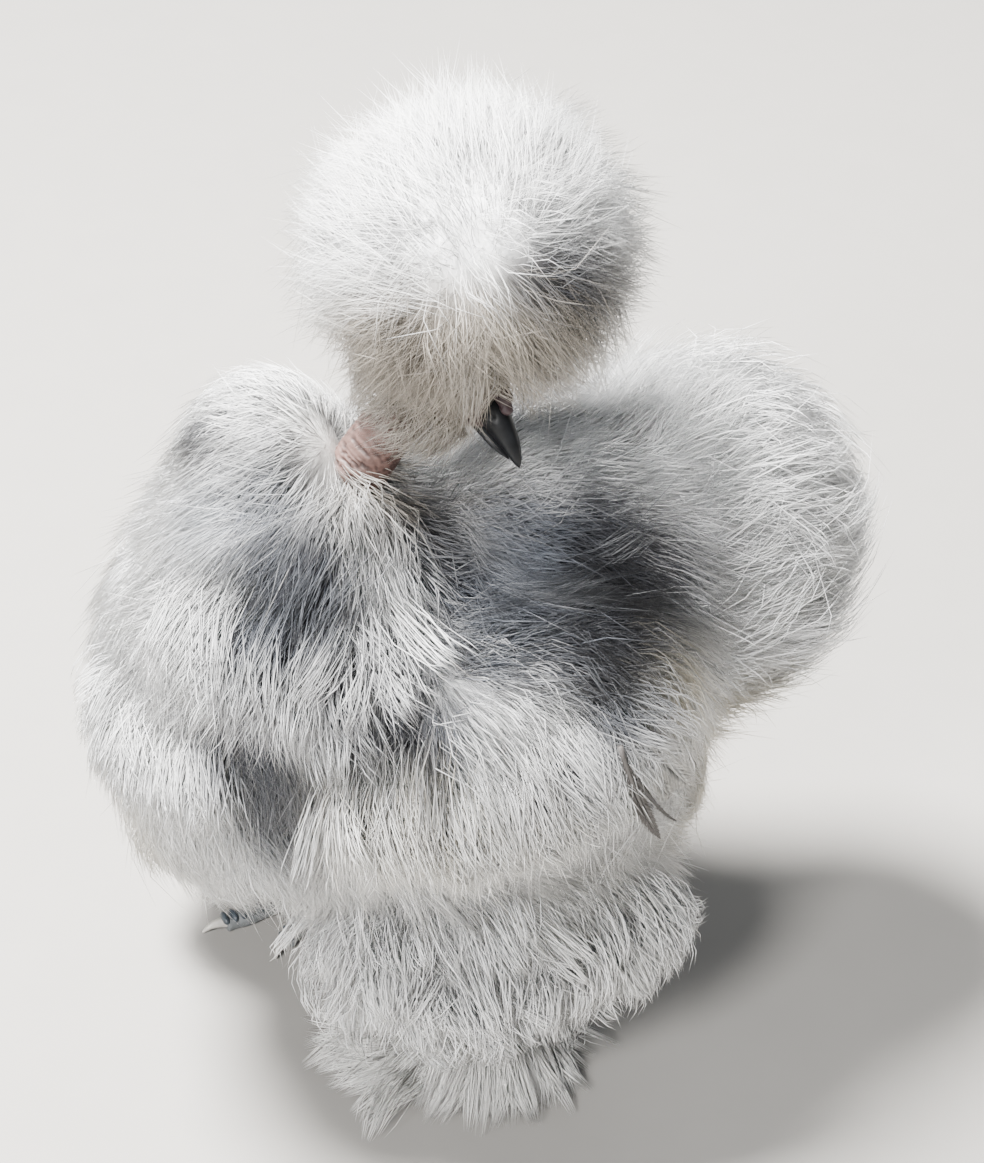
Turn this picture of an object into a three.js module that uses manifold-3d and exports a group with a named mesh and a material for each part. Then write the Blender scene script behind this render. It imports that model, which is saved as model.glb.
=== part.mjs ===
// A silkie hen standing on both feet, with the neck up and the head turned back over the left shoulder.
// Millimetres, +Z up. The breast faces -Y and the left wing is on the +X side. The floor is at z = 0.
import * as THREE from "three";
import { mergeVertices } from "three/addons/utils/BufferGeometryUtils.js";
import Module from "manifold-3d";

const wasm = await Module();
wasm.setup();

const v = (x, y, z) => new THREE.Vector3(x, y, z);
const rad = THREE.MathUtils.degToRad;
const lerp = THREE.MathUtils.lerp;

// The gap that touching pieces keep, and how far a face may move to take slivers away.
const GAP = 0.3;
const SLIVER = 0.1;

// The plumage. Each form is an ellipsoid: "reach" is where its feather tips end, and "core" is the dense
// down that they grow from. Feathers lie away from the direction "whorl". "divisions" is how finely the
// down is divided in facets, each of which grows one lock. "span" is how far round the form one lies in
// degrees, and "tilt" turns the form about X.
const CAPE = {
  centre: v(0, -44, 190),
  reach: v(61, 53, 52),
  core: v(44, 38, 38),
  whorl: v(0.1, 0.36, 0.93),
  divisions: 3,
  span: 42,
};
const COLLAR = {
  centre: v(-10, -52, 225),
  reach: v(35, 30, 31),
  core: v(22, 18, 20),
  whorl: v(0.47, 0.74, 0.47),
  divisions: 2,
  span: 50,
};
const BREAST = {
  centre: v(-2, -62, 141),
  reach: v(72, 56, 74),
  core: v(54, 40, 58),
  whorl: v(0, -0.35, 0.95),
  divisions: 3,
  span: 38,
};
const SADDLE = {
  centre: v(0, 36, 186),
  reach: v(58, 50, 42),
  core: v(42, 36, 28),
  whorl: v(0, -1, 0.25),
  divisions: 3,
  span: 42,
};
const TORSO = {
  centre: v(0, -10, 140),
  reach: v(84, 94, 78),
  core: v(66, 76, 60),
  whorl: v(0, -0.8, 0.6),
  divisions: 3,
  span: 38,
};
const VENT_FLUFF = {
  centre: v(10, 48, 96),
  reach: v(50, 42, 42),
  core: v(34, 26, 28),
  whorl: v(0, -0.9, 0.5),
  divisions: 2,
  span: 42,
};
const TAIL = {
  centre: v(-2, 88, 172),
  reach: v(62, 58, 69),
  core: v(38, 34, 42),
  whorl: v(0, -0.95, -0.3),
  divisions: 3,
  span: 34,
  tilt: -12,
};
const WING = {
  centre: v(62, 6, 156),
  reach: v(31, 63, 47),
  core: v(19, 46, 32),
  whorl: v(-0.2, -0.55, 0.75),
  divisions: 3,
  span: 42,
  tilt: 12,
};
const WING_TIP = {
  centre: v(50, 46, 122),
  reach: v(22, 32, 32),
  core: v(12, 20, 20),
  whorl: v(0.2, -0.75, 0.6),
};
const LEFT_THIGH = {
  centre: v(44, 5, 66),
  reach: v(45, 67, 46),
  core: v(30, 47, 30),
  whorl: v(0, -0.3, 1),
  divisions: 3,
  span: 42,
};
const RIGHT_THIGH = {
  centre: v(-48, -50, 65),
  reach: v(42, 54, 46),
  core: v(27, 37, 30),
  whorl: v(0, -0.3, 1),
  divisions: 3,
  span: 42,
};
const CREST = {
  centre: v(12, 6, 303),
  reach: v(52, 53, 50),
  core: v(32, 33, 30),
  whorl: v(0.9, 0.2, 0.12),
  divisions: 3,
  span: 34,
};

// A lock's stations beyond its root: the share of its length, the share of the way from core to reach, its
// width as a share of its facet's, and its thickness.
const LOCK_STATIONS = [
  { along: 0.45, out: 0.62, width: 0.72, thickness: 1.6 },
  { along: 1, out: 1, width: 0, thickness: 0 },
];
// How locks differ: the shares of the full span that they lie over, and how far they lean aside in degrees.
const LOCK_SPAN = [0.86, 1.12];
const LOCK_LEAN = 5;
// No lock lies over more than this share of what is left of its form.
const LOCK_REST = 0.8;
// How a lock may be narrowed or lifted to pass clear of its neighbours, and how much crossing is let be in
// mm3.
const LOCK_TRIALS = [
  { narrow: 1, lift: 0 },
  { narrow: 0.9, lift: 0.05 },
  { narrow: 0.8, lift: -0.05 },
  { narrow: 0.6, lift: 0 },
];
const CROSSING = 1e-5;
// How far over a neighbour's down a lock floats, at its root and more at its tip, as shares of the
// neighbour.
const FLOAT = { root: 1.04, tip: 0.14 };
// A facet within this share of a neighbour's down grows no lock.
const ROOT_DEPTH = 1.05;
// A lock whose tip is within this share of the reach of a form of the same piece is left out.
const SUNK_TIP = 0.96;

// The flight feathers of a folded wing: a fan of vanes that lie over one another, from the lowest and
// innermost. Angles are down from level, towards the tail.
const FLIGHT = {
  count: 5,
  root: v(60, 20, 134),
  lowest: 68,
  highest: -2,
  length: 58,
  width: 14,
  rootShare: 0.7,
  vary: [0.92, 1.08],
  thickness: 1,
  step: 1.8,
  bow: 3.6,
};

// A piece's cell is a little larger than its reach, so that its flat faces clear the feather tips.
const CELL_SCALE = 1.07;

// The head: where the middle of the skull is, how far it is turned to the left and how far the bill points
// down. Places and radii on it run forward along the bill, to its own left, and up through the crown.
const SKULL_AT = v(16, 0.5, 267.5);
const HEAD_TURN = 116;
const HEAD_PITCH = 33;
const SKULL_BEADS = [
  { at: [0, 0, 0], radii: [15, 12.5, 12.5], detail: 2 },
  { at: [9, 0, -2.5], radii: [12, 8.4, 9.6], detail: 2 },
  { at: [-5, 0, -6], radii: [11, 9.5, 10], detail: 1 },
];
// How much of a round middle the crest's down leaves to the skull.
const CREST_HOLLOW = v(14, 14, 14);
const EYE_RADIUS = 4.2;
const EYE_AT = { forward: 7, out: 8.6, up: 3 };
const LIDS = { radius: 3.9, thickness: 1.1, wide: 1.12, high: 0.9, yaw: 16, out: 9.9, facets: [4, 9] };

// Sections across the bill: the share of its length, the middle's height, half its width and half its
// height.
const BILL = { root: 15.5, length: 21, sunk: 4, sides: 10 };
const UPPER_BILL = [
  { share: 0, height: 0.6, halfWidth: 5.6, halfHeight: 5.2 },
  { share: 0.25, height: 0.2, halfWidth: 4.9, halfHeight: 5.2 },
  { share: 0.5, height: -0.8, halfWidth: 4, halfHeight: 4.4 },
  { share: 0.75, height: -2.6, halfWidth: 2.8, halfHeight: 3 },
  { share: 0.92, height: -4.6, halfWidth: 1.5, halfHeight: 1.7 },
  { share: 1, height: -6.2, halfWidth: 0, halfHeight: 0 },
];
const LOWER_BILL = [
  { share: 0, height: -7.4, halfWidth: 4.6, halfHeight: 2.6 },
  { share: 0.3, height: -7.2, halfWidth: 3.9, halfHeight: 2.2 },
  { share: 0.6, height: -7.4, halfWidth: 2.8, halfHeight: 1.5 },
  { share: 0.82, height: -8, halfWidth: 0, halfHeight: 0 },
];
const NOSTRIL = { forward: 20, out: 5, up: 2.4, radii: [2.2, 1.5, 0.8] };

// The walnut comb's lumps, in two short rows over the root of the bill, with how long and how low each is.
const COMB_LUMPS = [
  { at: [13.5, 2.5, 9.4], radius: 2.8 },
  { at: [13.8, -2.5, 9.2], radius: 2.7 },
  { at: [18, 0.4, 8.1], radius: 2.9 },
  { at: [21.3, -0.2, 6.6], radius: 2.1 },
];
const COMB_LONG = 1.15;
const COMB_LOW = 0.9;

// The left wattle and ear lobe. The right ones are their mirror images.
const WATTLE_BEADS = [
  { at: [9.5, 4.4, -12.5], radii: [4.4, 2.1, 4.6] },
  { at: [7, 5, -11], radii: [3.4, 1.8, 4] },
];
const EARLOBE = { at: [-1, 12.4, -5], radii: [3.2, 1.6, 4.2] };

// The neck's bare skin runs from inside the cape up to the back of the skull, and flares at its foot.
const NECK_PATH = [v(2, -40, 205), v(4, -31, 222), v(7, -21, 240), v(10, -10, 254), v(14, -1, 264)];
const NECK = { radius: 9, flare: 2.5, sides: 8, steps: 4 };

// The feet: where each stands, how far it is turned out, and where its shank leaves the thigh.
const LEFT_FOOT = { name: "left", side: 1, at: v(37, 2, 0), turn: -8, hock: v(42, 14, 56) };
const RIGHT_FOOT = { name: "right", side: -1, at: v(-50, -29, 0), turn: 8, hock: v(-50, -24, 56) };
const SHANK = { radius: 5.6, ends: 1.1, waist: 0.15, sides: 8, steps: 3 };
const BALL_OF_FOOT = { height: 7, radii: v(8, 8, 7.5) };

// A toe's path: the share of its length, its middle's height over the floor, and the share of its rise. Its
// underside is cut flat by the floor. A claw starts inside its toe's end, arches over and comes down.
const TOE_PATH = [
  { along: 0, height: 9, rise: 0 },
  { along: 0.35, height: 6.28, rise: 0.4 },
  { along: 0.7, height: 3.28, rise: 0.8 },
  { along: 1, height: 2.68, rise: 1 },
];
const TOE = { radius: 4.1, root: 1.08, taper: 0.28, sides: 6, steps: 5 };
const CLAW = { sunk: 3, height: 3.08, arch: 0.9, drop: 1.2, radius: 2.3, tip: 0.35, sides: 5, steps: 3 };
const TOES = [
  { angle: -38, length: 30, rise: 0, claw: 9 },
  { angle: 0, length: 40, rise: 0, claw: 9 },
  { angle: 36, length: 32, rise: 0, claw: 9 },
  { angle: -160, length: 21, rise: 0, claw: 8 },
  { angle: -138, length: 20, rise: 13, claw: 9 },
];

// The shank's and toes' feathers: how many in a tier, and the angles from the middle toe, outwards, of the
// fan. "root" is how high over the floor they start and "rise" how far they arch.
const LOW_PLUME = { count: 5, from: 22, to: 165, length: 37, width: 15, thickness: 2.2, root: 12, rise: 3 };
const HIGH_PLUME = { count: 4, from: 30, to: 155, length: 28, width: 14, thickness: 2.2, root: 19, rise: 6 };
const TOE_PLUME = { count: 3, from: -10, to: 54, length: 26, width: 11, thickness: 1.8, root: 6, rise: 3 };

// How high over the floor the tips of these feathers end, how far inside the leg they start and how wide
// they are there as shares of their length and width, and how they vary.
const PLUME = {
  tip: 3,
  sunk: 0.1,
  rootShare: 0.5,
  sag: 0.6,
  lifted: 4,
  place: [0.35, 0.65],
  lengths: [0.88, 1.12],
  widths: [0.9, 1.1],
};
// Where on a toe its feathers start, and how far they close in on the middle toe.
const TOE_FEATHER = { along: 20, closing: 0.6 };

// The first draw of each group of pieces.
const COAT_SEED = 100;
const CREST_SEED = 300;
const LEFT_LEG_SEED = 400;
const RIGHT_LEG_SEED = 500;

// One fixed sequence of draws for each piece, so that the plumage is the same each time.
function sequence(seed) {
  let state = seed;
  return (low, high) => {
    state = (state + 0x6d2b79f5) | 0;
    let t = Math.imul(state ^ (state >>> 15), 1 | state);
    t = (t + Math.imul(t ^ (t >>> 7), 61 | t)) ^ t;
    return low + ((high - low) * ((t ^ (t >>> 14)) >>> 0)) / 4294967296;
  };
}

// A closed three.js geometry as a solid.
function solidOf(geometry) {
  const bare = geometry.clone();
  bare.deleteAttribute("normal");
  bare.deleteAttribute("uv");
  const merged = mergeVertices(bare, 1e-4);
  return new wasm.Manifold(
    new wasm.Mesh({
      numProp: 3,
      vertProperties: new Float32Array(merged.attributes.position.array),
      triVerts: new Uint32Array(merged.index.array),
    }),
  );
}

const join = (solids) => wasm.Manifold.union(solids);
const cut = (solid, tools) => (tools.length ? solid.subtract(join(tools)) : solid);

// The tilt of a form, as a turn about X.
const turnOf = (form) => new THREE.Quaternion().setFromAxisAngle(v(1, 0, 0), rad(form.tilt ?? 0));

// An ellipsoid of few faces, scaled and grown from a form's "reach" or "core".
function ball(form, which, { scale = 1, grow = 0, detail = 1 } = {}) {
  const geometry = new THREE.IcosahedronGeometry(1, detail);
  const radii = form[which].clone().multiplyScalar(scale).addScalar(grow);
  geometry.scale(radii.x, radii.y, radii.z);
  geometry.applyQuaternion(turnOf(form));
  geometry.translate(form.centre.x, form.centre.y, form.centre.z);
  return solidOf(geometry);
}

// A solid from its corners and faces, turned right side out if need be.
function fromFaces(points, faces) {
  const geometry = new THREE.BufferGeometry();
  const places = points.flatMap((p) => [p.x, p.y, p.z]);
  geometry.setAttribute("position", new THREE.Float32BufferAttribute(places, 3));
  geometry.setIndex(faces.flat());
  const made = solidOf(geometry);
  if (made.volume() > 0) return made;
  geometry.setIndex(faces.flatMap(([a, b, c]) => [a, c, b]));
  return solidOf(geometry);
}

// A skin over rings of points, closed at both ends. A last ring of one point makes a tip.
function loft(rings) {
  const sides = rings[0].length;
  const faces = [];
  for (let r = 0; r + 1 < rings.length; r++) {
    const a = r * sides;
    for (let i = 0; i < sides; i++) {
      const j = (i + 1) % sides;
      if (rings[r + 1].length === 1) {
        faces.push([a + i, a + j, a + sides]);
      } else {
        faces.push([a + i, a + j, a + sides + j], [a + i, a + sides + j, a + sides + i]);
      }
    }
  }
  for (let i = 1; i + 1 < sides; i++) faces.push([0, i + 1, i]);
  const last = (rings.length - 1) * sides;
  if (rings.at(-1).length > 1) {
    for (let i = 1; i + 1 < sides; i++) faces.push([last, last + i, last + i + 1]);
  }
  return fromFaces(rings.flat(), faces);
}

// A round bar along a path. radiusAt gives the radius at a share of its length.
function bar(path, radiusAt, sides, steps) {
  const curve = new THREE.CatmullRomCurve3(path);
  const frames = curve.computeFrenetFrames(steps, false);
  const rings = [];
  for (let s = 0; s <= steps; s++) {
    const at = curve.getPointAt(s / steps);
    const ring = [];
    for (let i = 0; i < sides; i++) {
      const angle = (2 * Math.PI * i) / sides;
      ring.push(
        at
          .clone()
          .addScaledVector(frames.normals[s], Math.cos(angle) * radiusAt(s / steps))
          .addScaledVector(frames.binormals[s], Math.sin(angle) * radiusAt(s / steps)),
      );
    }
    rings.push(ring);
  }
  return loft(rings);
}

// A flat tapered blade through a few points, whose width runs along "side" and whose last point is a tip.
function blade(points, side, widths, thicknesses) {
  const rings = points.map((point, i) => {
    if (i === points.length - 1) return [point];
    const along = points[i + 1].clone().sub(points[Math.max(0, i - 1)]);
    const out = side.clone().cross(along).normalize().multiplyScalar(thicknesses[i]);
    const across = along.clone().cross(out).normalize().multiplyScalar(widths[i] / 2);
    return [point.clone().add(across), point.clone().add(out), point.clone().sub(across)];
  });
  return loft(rings);
}

// How far out a point is in a form, where 1 is on its reach or core.
function depthIn(form, point, which) {
  const p = point.clone().sub(form.centre).applyQuaternion(turnOf(form).invert()).divide(form[which]);
  return p.length();
}

// The point of a form in a unit direction, at a share of the way from its core to its reach.
function pointOn(form, direction, share) {
  const radii = form.core.clone().lerp(form.reach, share);
  return direction.clone().multiply(radii).applyQuaternion(turnOf(form)).add(form.centre);
}

// Moves a point that is past a form's reach back onto it.
function heldIn(form, point) {
  const depth = depthIn(form, point, "reach");
  return depth <= 1 ? point : point.clone().sub(form.centre).divideScalar(depth).add(form.centre);
}

// Lifts a point that is in the down of other forms out of it.
function floated(point, others, lift) {
  return others.reduce((at, form) => {
    const depth = depthIn(form, at, "core");
    return depth >= lift ? at : at.clone().sub(form.centre).multiplyScalar(lift / depth).add(form.centre);
  }, point);
}

// Whether two solids touch, by their boxes first.
function touches(a, b) {
  const p = a.boundingBox();
  const q = b.boundingBox();
  if ([0, 1, 2].some((i) => p.max[i] < q.min[i] || q.max[i] < p.min[i])) return false;
  return a.intersect(b).volume() > CROSSING;
}

// The first of some makings that crosses none of the solids already laid, or nothing.
function clearOf(laid, makings) {
  for (const making of makings) {
    const made = making();
    if (!laid.some((other) => touches(other.solid, made.solid))) return made;
  }
  return undefined;
}

// A form's down with a lock drawn out of each facet that shows: the facet is carried along the lie and
// outwards, flattened, and ends in a tip. A facet buried in another form's down, or under a piece above,
// stays bare.
function coated(form, draw, { others = [], over = [], beside = [], laid = [] } = {}) {
  const geometry = new THREE.OctahedronGeometry(1, form.divisions);
  geometry.deleteAttribute("normal");
  geometry.deleteAttribute("uv");
  const sphere = mergeVertices(geometry, 1e-4);
  const whorl = form.whorl.clone().normalize();
  const directions = Array.from({ length: sphere.attributes.position.count }, (_, i) =>
    v(0, 0, 0).fromBufferAttribute(sphere.attributes.position, i).normalize(),
  );
  const points = directions.map((direction) => pointOn(form, direction, 0));
  const faces = [];
  const locks = [];
  for (let f = 0; f < sphere.index.count; f += 3) {
    const corners = [0, 1, 2].map((i) => sphere.index.getX(f + i));
    const facet = corners.map((i) => points[i]);
    const start = corners.reduce((sum, i) => sum.add(directions[i]), v(0, 0, 0)).normalize();
    const axis = whorl.clone().cross(start).normalize();
    const left = Math.PI - whorl.angleTo(start);
    const span = Math.min(rad(form.span), left * LOCK_REST) * draw(...LOCK_SPAN);
    const lean = rad(draw(-LOCK_LEAN, LOCK_LEAN));
    const at = (share, out) => {
      const direction = start.clone().applyAxisAngle(axis, span * share);
      direction.applyAxisAngle(start, lean * share);
      const free = pointOn(form, direction, out);
      return heldIn(form, floated(free, others, FLOAT.root + FLOAT.tip * out));
    };
    const root = pointOn(form, start, 0);
    const half = at(LOCK_STATIONS[0].along, LOCK_STATIONS[0].out);
    const tip = at(1, 1);
    const buried = others.some((other) => depthIn(other, root, "core") < ROOT_DEPTH);
    const covered = over.some((other) => [root, half].some((point) => depthIn(other, point, "reach") < 1));
    const sunk = beside.some((other) => depthIn(other, tip, "reach") < SUNK_TIP);
    const make = ({ narrow, lift }) => {
      const rings = LOCK_STATIONS.slice(0, -1).map((station, i) => {
        const middle = at(station.along, station.out + lift);
        const next = at(LOCK_STATIONS[i + 1].along, LOCK_STATIONS[i + 1].out);
        const before = i > 0 ? at(LOCK_STATIONS[i - 1].along, LOCK_STATIONS[i - 1].out) : root;
        return flattened(facet, middle, next.sub(before), axis, station, narrow);
      });
      return { rings, solid: loft([facet, ...rings, [tip]]) };
    };
    const trials = buried || covered || sunk ? [] : LOCK_TRIALS;
    const made = clearOf([...laid, ...locks], trials.map((trial) => () => make(trial)));
    if (made) {
      locks.push(made);
      faces.push(...wallsOf(corners, made.rings, tip, points));
    } else {
      faces.push(corners);
    }
  }
  return fromFaces(points, faces);
}

// The walls of a lock, from its facet's corners to its tip. Their new corners are added to "points".
function wallsOf(corners, rings, tip, points) {
  const walls = [];
  let from = corners;
  for (const ring of rings) {
    const to = ring.map((point) => points.push(point) - 1);
    from.forEach((a, i) => {
      const next = (i + 1) % from.length;
      walls.push([a, from[next], to[next]], [a, to[next], to[i]]);
    });
    from = to;
  }
  const last = points.push(tip) - 1;
  from.forEach((a, i) => walls.push([a, from[(i + 1) % from.length], last]));
  return walls;
}

// A facet's corners, laid flat across a lock at one of its stations.
function flattened(corners, middle, along, side, station, narrow) {
  const centre = corners.reduce((sum, p) => sum.add(p), v(0, 0, 0)).divideScalar(corners.length);
  const up = along.clone().cross(side).normalize();
  const back = up.clone().cross(side).normalize();
  const offsets = corners.map((p) => p.clone().sub(centre));
  const across = offsets.map((o) => o.dot(side));
  const heights = offsets.map((o) => o.dot(back));
  const depth = Math.max(...heights) - Math.min(...heights);
  return corners.map((_, i) =>
    middle
      .clone()
      .addScaledVector(side, across[i] * station.width * narrow)
      .addScaledVector(up, (heights[i] / depth) * station.thickness),
  );
}

// The flight feathers of the left wing, or of the right one by a flip of its side.
function flightFeathers(form, flip, draw) {
  return Array.from({ length: FLIGHT.count }, (_, i) => {
    const share = i / (FLIGHT.count - 1);
    const angle = rad(lerp(FLIGHT.lowest, FLIGHT.highest, share));
    const ahead = v(0, Math.cos(angle), -Math.sin(angle));
    const length = FLIGHT.length * draw(...FLIGHT.vary);
    const root = FLIGHT.root.clone().add(v(FLIGHT.step * i, 0, 0));
    const points = [0, 0.5, 1].map((along) => {
      const at = root.clone().addScaledVector(ahead, length * along);
      at.x += FLIGHT.bow * along * (1 - along);
      at.x *= flip;
      return heldIn(form, at);
    });
    const side = ahead.clone().cross(v(1, 0, 0));
    const widths = [FLIGHT.width * FLIGHT.rootShare, FLIGHT.width, 0];
    return blade(points, side, widths, [FLIGHT.thickness, FLIGHT.thickness, 0]);
  });
}

// Keeps the largest closed surface of a solid, without slivers.
function largest(solid) {
  return solid
    .simplify(SLIVER)
    .decompose()
    .sort((a, b) => b.volume() - a.volume())[0];
}

const hen = new THREE.Group();

function add(name, solid, material) {
  const mesh = largest(solid).getMesh();
  const geometry = new THREE.BufferGeometry();
  geometry.setAttribute("position", new THREE.Float32BufferAttribute(Array.from(mesh.vertProperties), 3));
  geometry.setIndex(new THREE.Uint32BufferAttribute(Array.from(mesh.triVerts), 1));
  const made = new THREE.Mesh(geometry, material);
  made.name = name;
  hen.add(made);
}

const finish = (color, roughness) => new THREE.MeshStandardMaterial({ color, roughness, metalness: 0 });
const WHITE_PLUMAGE = finish(0xeef0f2, 0.95);
const GREY_PLUMAGE = finish(0xb4b8be, 0.95);
const NECK_SKIN = finish(0xa08078, 0.7);
const FACE_SKIN = finish(0x3a2a2e, 0.7);
const HORN = finish(0x1c1d20, 0.35);
const COMB_SKIN = finish(0x40222a, 0.65);
const LOBE_SKIN = finish(0x4f8f98, 0.6);
const EYE = finish(0x120c0a, 0.08);
const SCALES = finish(0x3c4348, 0.6);
const CLAW_HORN = finish(0xb8b2a6, 0.4);

// Head frame: forward along the bill, to the head's own left, and up through the crown.
const turn = rad(HEAD_TURN);
const pitch = rad(HEAD_PITCH);
const FORWARD = v(Math.cos(pitch) * Math.sin(turn), -Math.cos(pitch) * Math.cos(turn), -Math.sin(pitch));
const CROWN = v(Math.sin(pitch) * Math.sin(turn), -Math.sin(pitch) * Math.cos(turn), Math.cos(pitch));
const HEAD_TO_WORLD = new THREE.Matrix4()
  .makeBasis(FORWARD, CROWN.clone().cross(FORWARD), CROWN)
  .setPosition(SKULL_AT);
const headPoint = (forward, left, up) => v(forward, left, up).applyMatrix4(HEAD_TO_WORLD);

// An ellipsoid whose radii run forward, left and up in the head's frame.
function headBead(at, radii, grow = 0, detail = 2) {
  const geometry = new THREE.IcosahedronGeometry(1, detail);
  geometry.scale(radii[0] + grow, radii[1] + grow, radii[2] + grow);
  geometry.translate(at[0], at[1], at[2]);
  geometry.applyMatrix4(HEAD_TO_WORLD);
  return solidOf(geometry);
}

const skull = (grow) => join(SKULL_BEADS.map(({ at, radii, detail }) => headBead(at, radii, grow, detail)));

const eyeBall = (side, grow) =>
  headBead([EYE_AT.forward, side * EYE_AT.out, EYE_AT.up], [EYE_RADIUS, EYE_RADIUS, EYE_RADIUS], grow);

// The rim of the lids round one eye.
function lids(side, grow) {
  const geometry = new THREE.TorusGeometry(LIDS.radius, LIDS.thickness + grow, ...LIDS.facets);
  geometry.scale(LIDS.wide, LIDS.high, 1);
  geometry.rotateX(rad(90));
  geometry.rotateZ(rad(-side * LIDS.yaw));
  geometry.translate(EYE_AT.forward, side * LIDS.out, EYE_AT.up);
  geometry.applyMatrix4(HEAD_TO_WORLD);
  return solidOf(geometry);
}

const headSolid = (grow) => join([skull(grow), lids(1, grow), lids(-1, grow)]);
const neckBar = (grow) =>
  bar(NECK_PATH, (s) => NECK.radius + NECK.flare * (1 - s) ** 3 + grow, NECK.sides, NECK.steps);

function billHalf(sections, grow) {
  const rings = sections.map(({ share, height, halfWidth, halfHeight }) => {
    const forward = BILL.root - BILL.sunk + share * (BILL.length + BILL.sunk);
    if (halfWidth === 0) return [headPoint(forward + grow, 0, height)];
    return Array.from({ length: BILL.sides }, (_, i) => {
      const angle = (2 * Math.PI * i) / BILL.sides;
      return headPoint(
        forward - (share === 0 ? grow : 0),
        Math.cos(angle) * (halfWidth + grow),
        height + Math.sin(angle) * (halfHeight + grow),
      );
    });
  });
  return loft(rings);
}

const upperBill = (grow) => billHalf(UPPER_BILL, grow);
const lowerBill = (grow) => billHalf(LOWER_BILL, grow);
const nostril = (side) =>
  headBead([NOSTRIL.forward, side * NOSTRIL.out, NOSTRIL.up], NOSTRIL.radii, 0, 1);
const combLump = ({ at, radius }, grow) =>
  headBead(at, [radius * COMB_LONG, radius, radius * COMB_LOW], grow, 1);
const comb = (grow) => join(COMB_LUMPS.map((lump) => combLump(lump, grow)));

// A bead of the left side of the head, or its mirror image on the right.
const sideBead = ({ at, radii }, side, grow) => headBead([at[0], side * at[1], at[2]], radii, grow, 1);
const wattle = (side, grow) => join(WATTLE_BEADS.map((one) => sideBead(one, side, grow)));
const earlobe = (side, grow) => sideBead(EARLOBE, side, grow);
const faceTrim = (grow) => [
  upperBill(grow),
  lowerBill(grow),
  comb(grow),
  ...[1, -1].flatMap((side) => [wattle(side, grow), earlobe(side, grow), eyeBall(side, grow)]),
];

function addHead() {
  add("head", cut(headSolid(0), [eyeBall(1, GAP), eyeBall(-1, GAP)]), FACE_SKIN);
  add("beak_upper", cut(upperBill(0), [headSolid(GAP), nostril(1), nostril(-1)]), HORN);
  add("beak_lower", cut(lowerBill(0), [headSolid(GAP), upperBill(GAP)]), HORN);
  add("comb", cut(comb(0), [headSolid(GAP), upperBill(GAP)]), COMB_SKIN);
  for (const side of [1, -1]) {
    const name = side > 0 ? "left" : "right";
    add(`eye_${name}`, eyeBall(side, 0), EYE);
    const others = [headSolid(GAP), lowerBill(GAP), upperBill(GAP), neckBar(GAP)];
    add(`wattle_${name}`, cut(wattle(side, 0), others), COMB_SKIN);
    add(`earlobe_${name}`, cut(earlobe(side, 0), [headSolid(GAP), neckBar(GAP)]), LOBE_SKIN);
  }
}

// A point of a foot's own frame: along its middle toe, to its outer side, and up.
function footPoint(foot, along, out, up) {
  const angle = rad(foot.turn) * foot.side;
  const ahead = v(Math.sin(angle), -Math.cos(angle), 0);
  const outward = v(Math.cos(angle), Math.sin(angle), 0).multiplyScalar(foot.side);
  return foot.at.clone().addScaledVector(ahead, along).addScaledVector(outward, out).add(v(0, 0, up));
}

const toePoint = (foot, angle, length, up) =>
  footPoint(foot, Math.cos(rad(angle)) * length, Math.sin(rad(angle)) * length, up);

function toeBar(foot, toe, grow) {
  const path = TOE_PATH.map(({ along, height, rise }) =>
    toePoint(foot, toe.angle, toe.length * along, height + toe.rise * rise),
  );
  return bar(path, (s) => TOE.radius * (TOE.root - TOE.taper * s) + grow, TOE.sides, TOE.steps);
}

function clawBar(foot, toe, grow) {
  const start = CLAW.height + toe.rise;
  const path = [
    toePoint(foot, toe.angle, toe.length - CLAW.sunk, start),
    toePoint(foot, toe.angle, toe.length + toe.claw / 2, start + CLAW.arch),
    toePoint(foot, toe.angle, toe.length + toe.claw, start - CLAW.drop),
  ];
  return bar(path, (s) => CLAW.radius * (1 - s) + CLAW.tip + grow, CLAW.sides, CLAW.steps);
}

const shankFoot = (foot) => foot.at.clone().setZ(BALL_OF_FOOT.height);
const shankBar = (foot, grow) =>
  bar(
    [foot.hock, foot.hock.clone().lerp(shankFoot(foot), 0.5), shankFoot(foot)],
    (s) => SHANK.radius * (SHANK.ends - SHANK.waist * Math.sin(s * Math.PI)) + grow,
    SHANK.sides,
    SHANK.steps,
  );

// Everything under the floor, which cuts the soles flat.
const floorBlock = solidOf(new THREE.BoxGeometry(600, 600, 60).translate(0, 0, -30));
const ballOfFoot = (foot, grow) =>
  ball({ centre: shankFoot(foot), core: BALL_OF_FOOT.radii }, "core", { grow });
const footBulk = (foot, grow) =>
  join([ballOfFoot(foot, grow), ...TOES.map((toe) => toeBar(foot, toe, grow))]);

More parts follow.
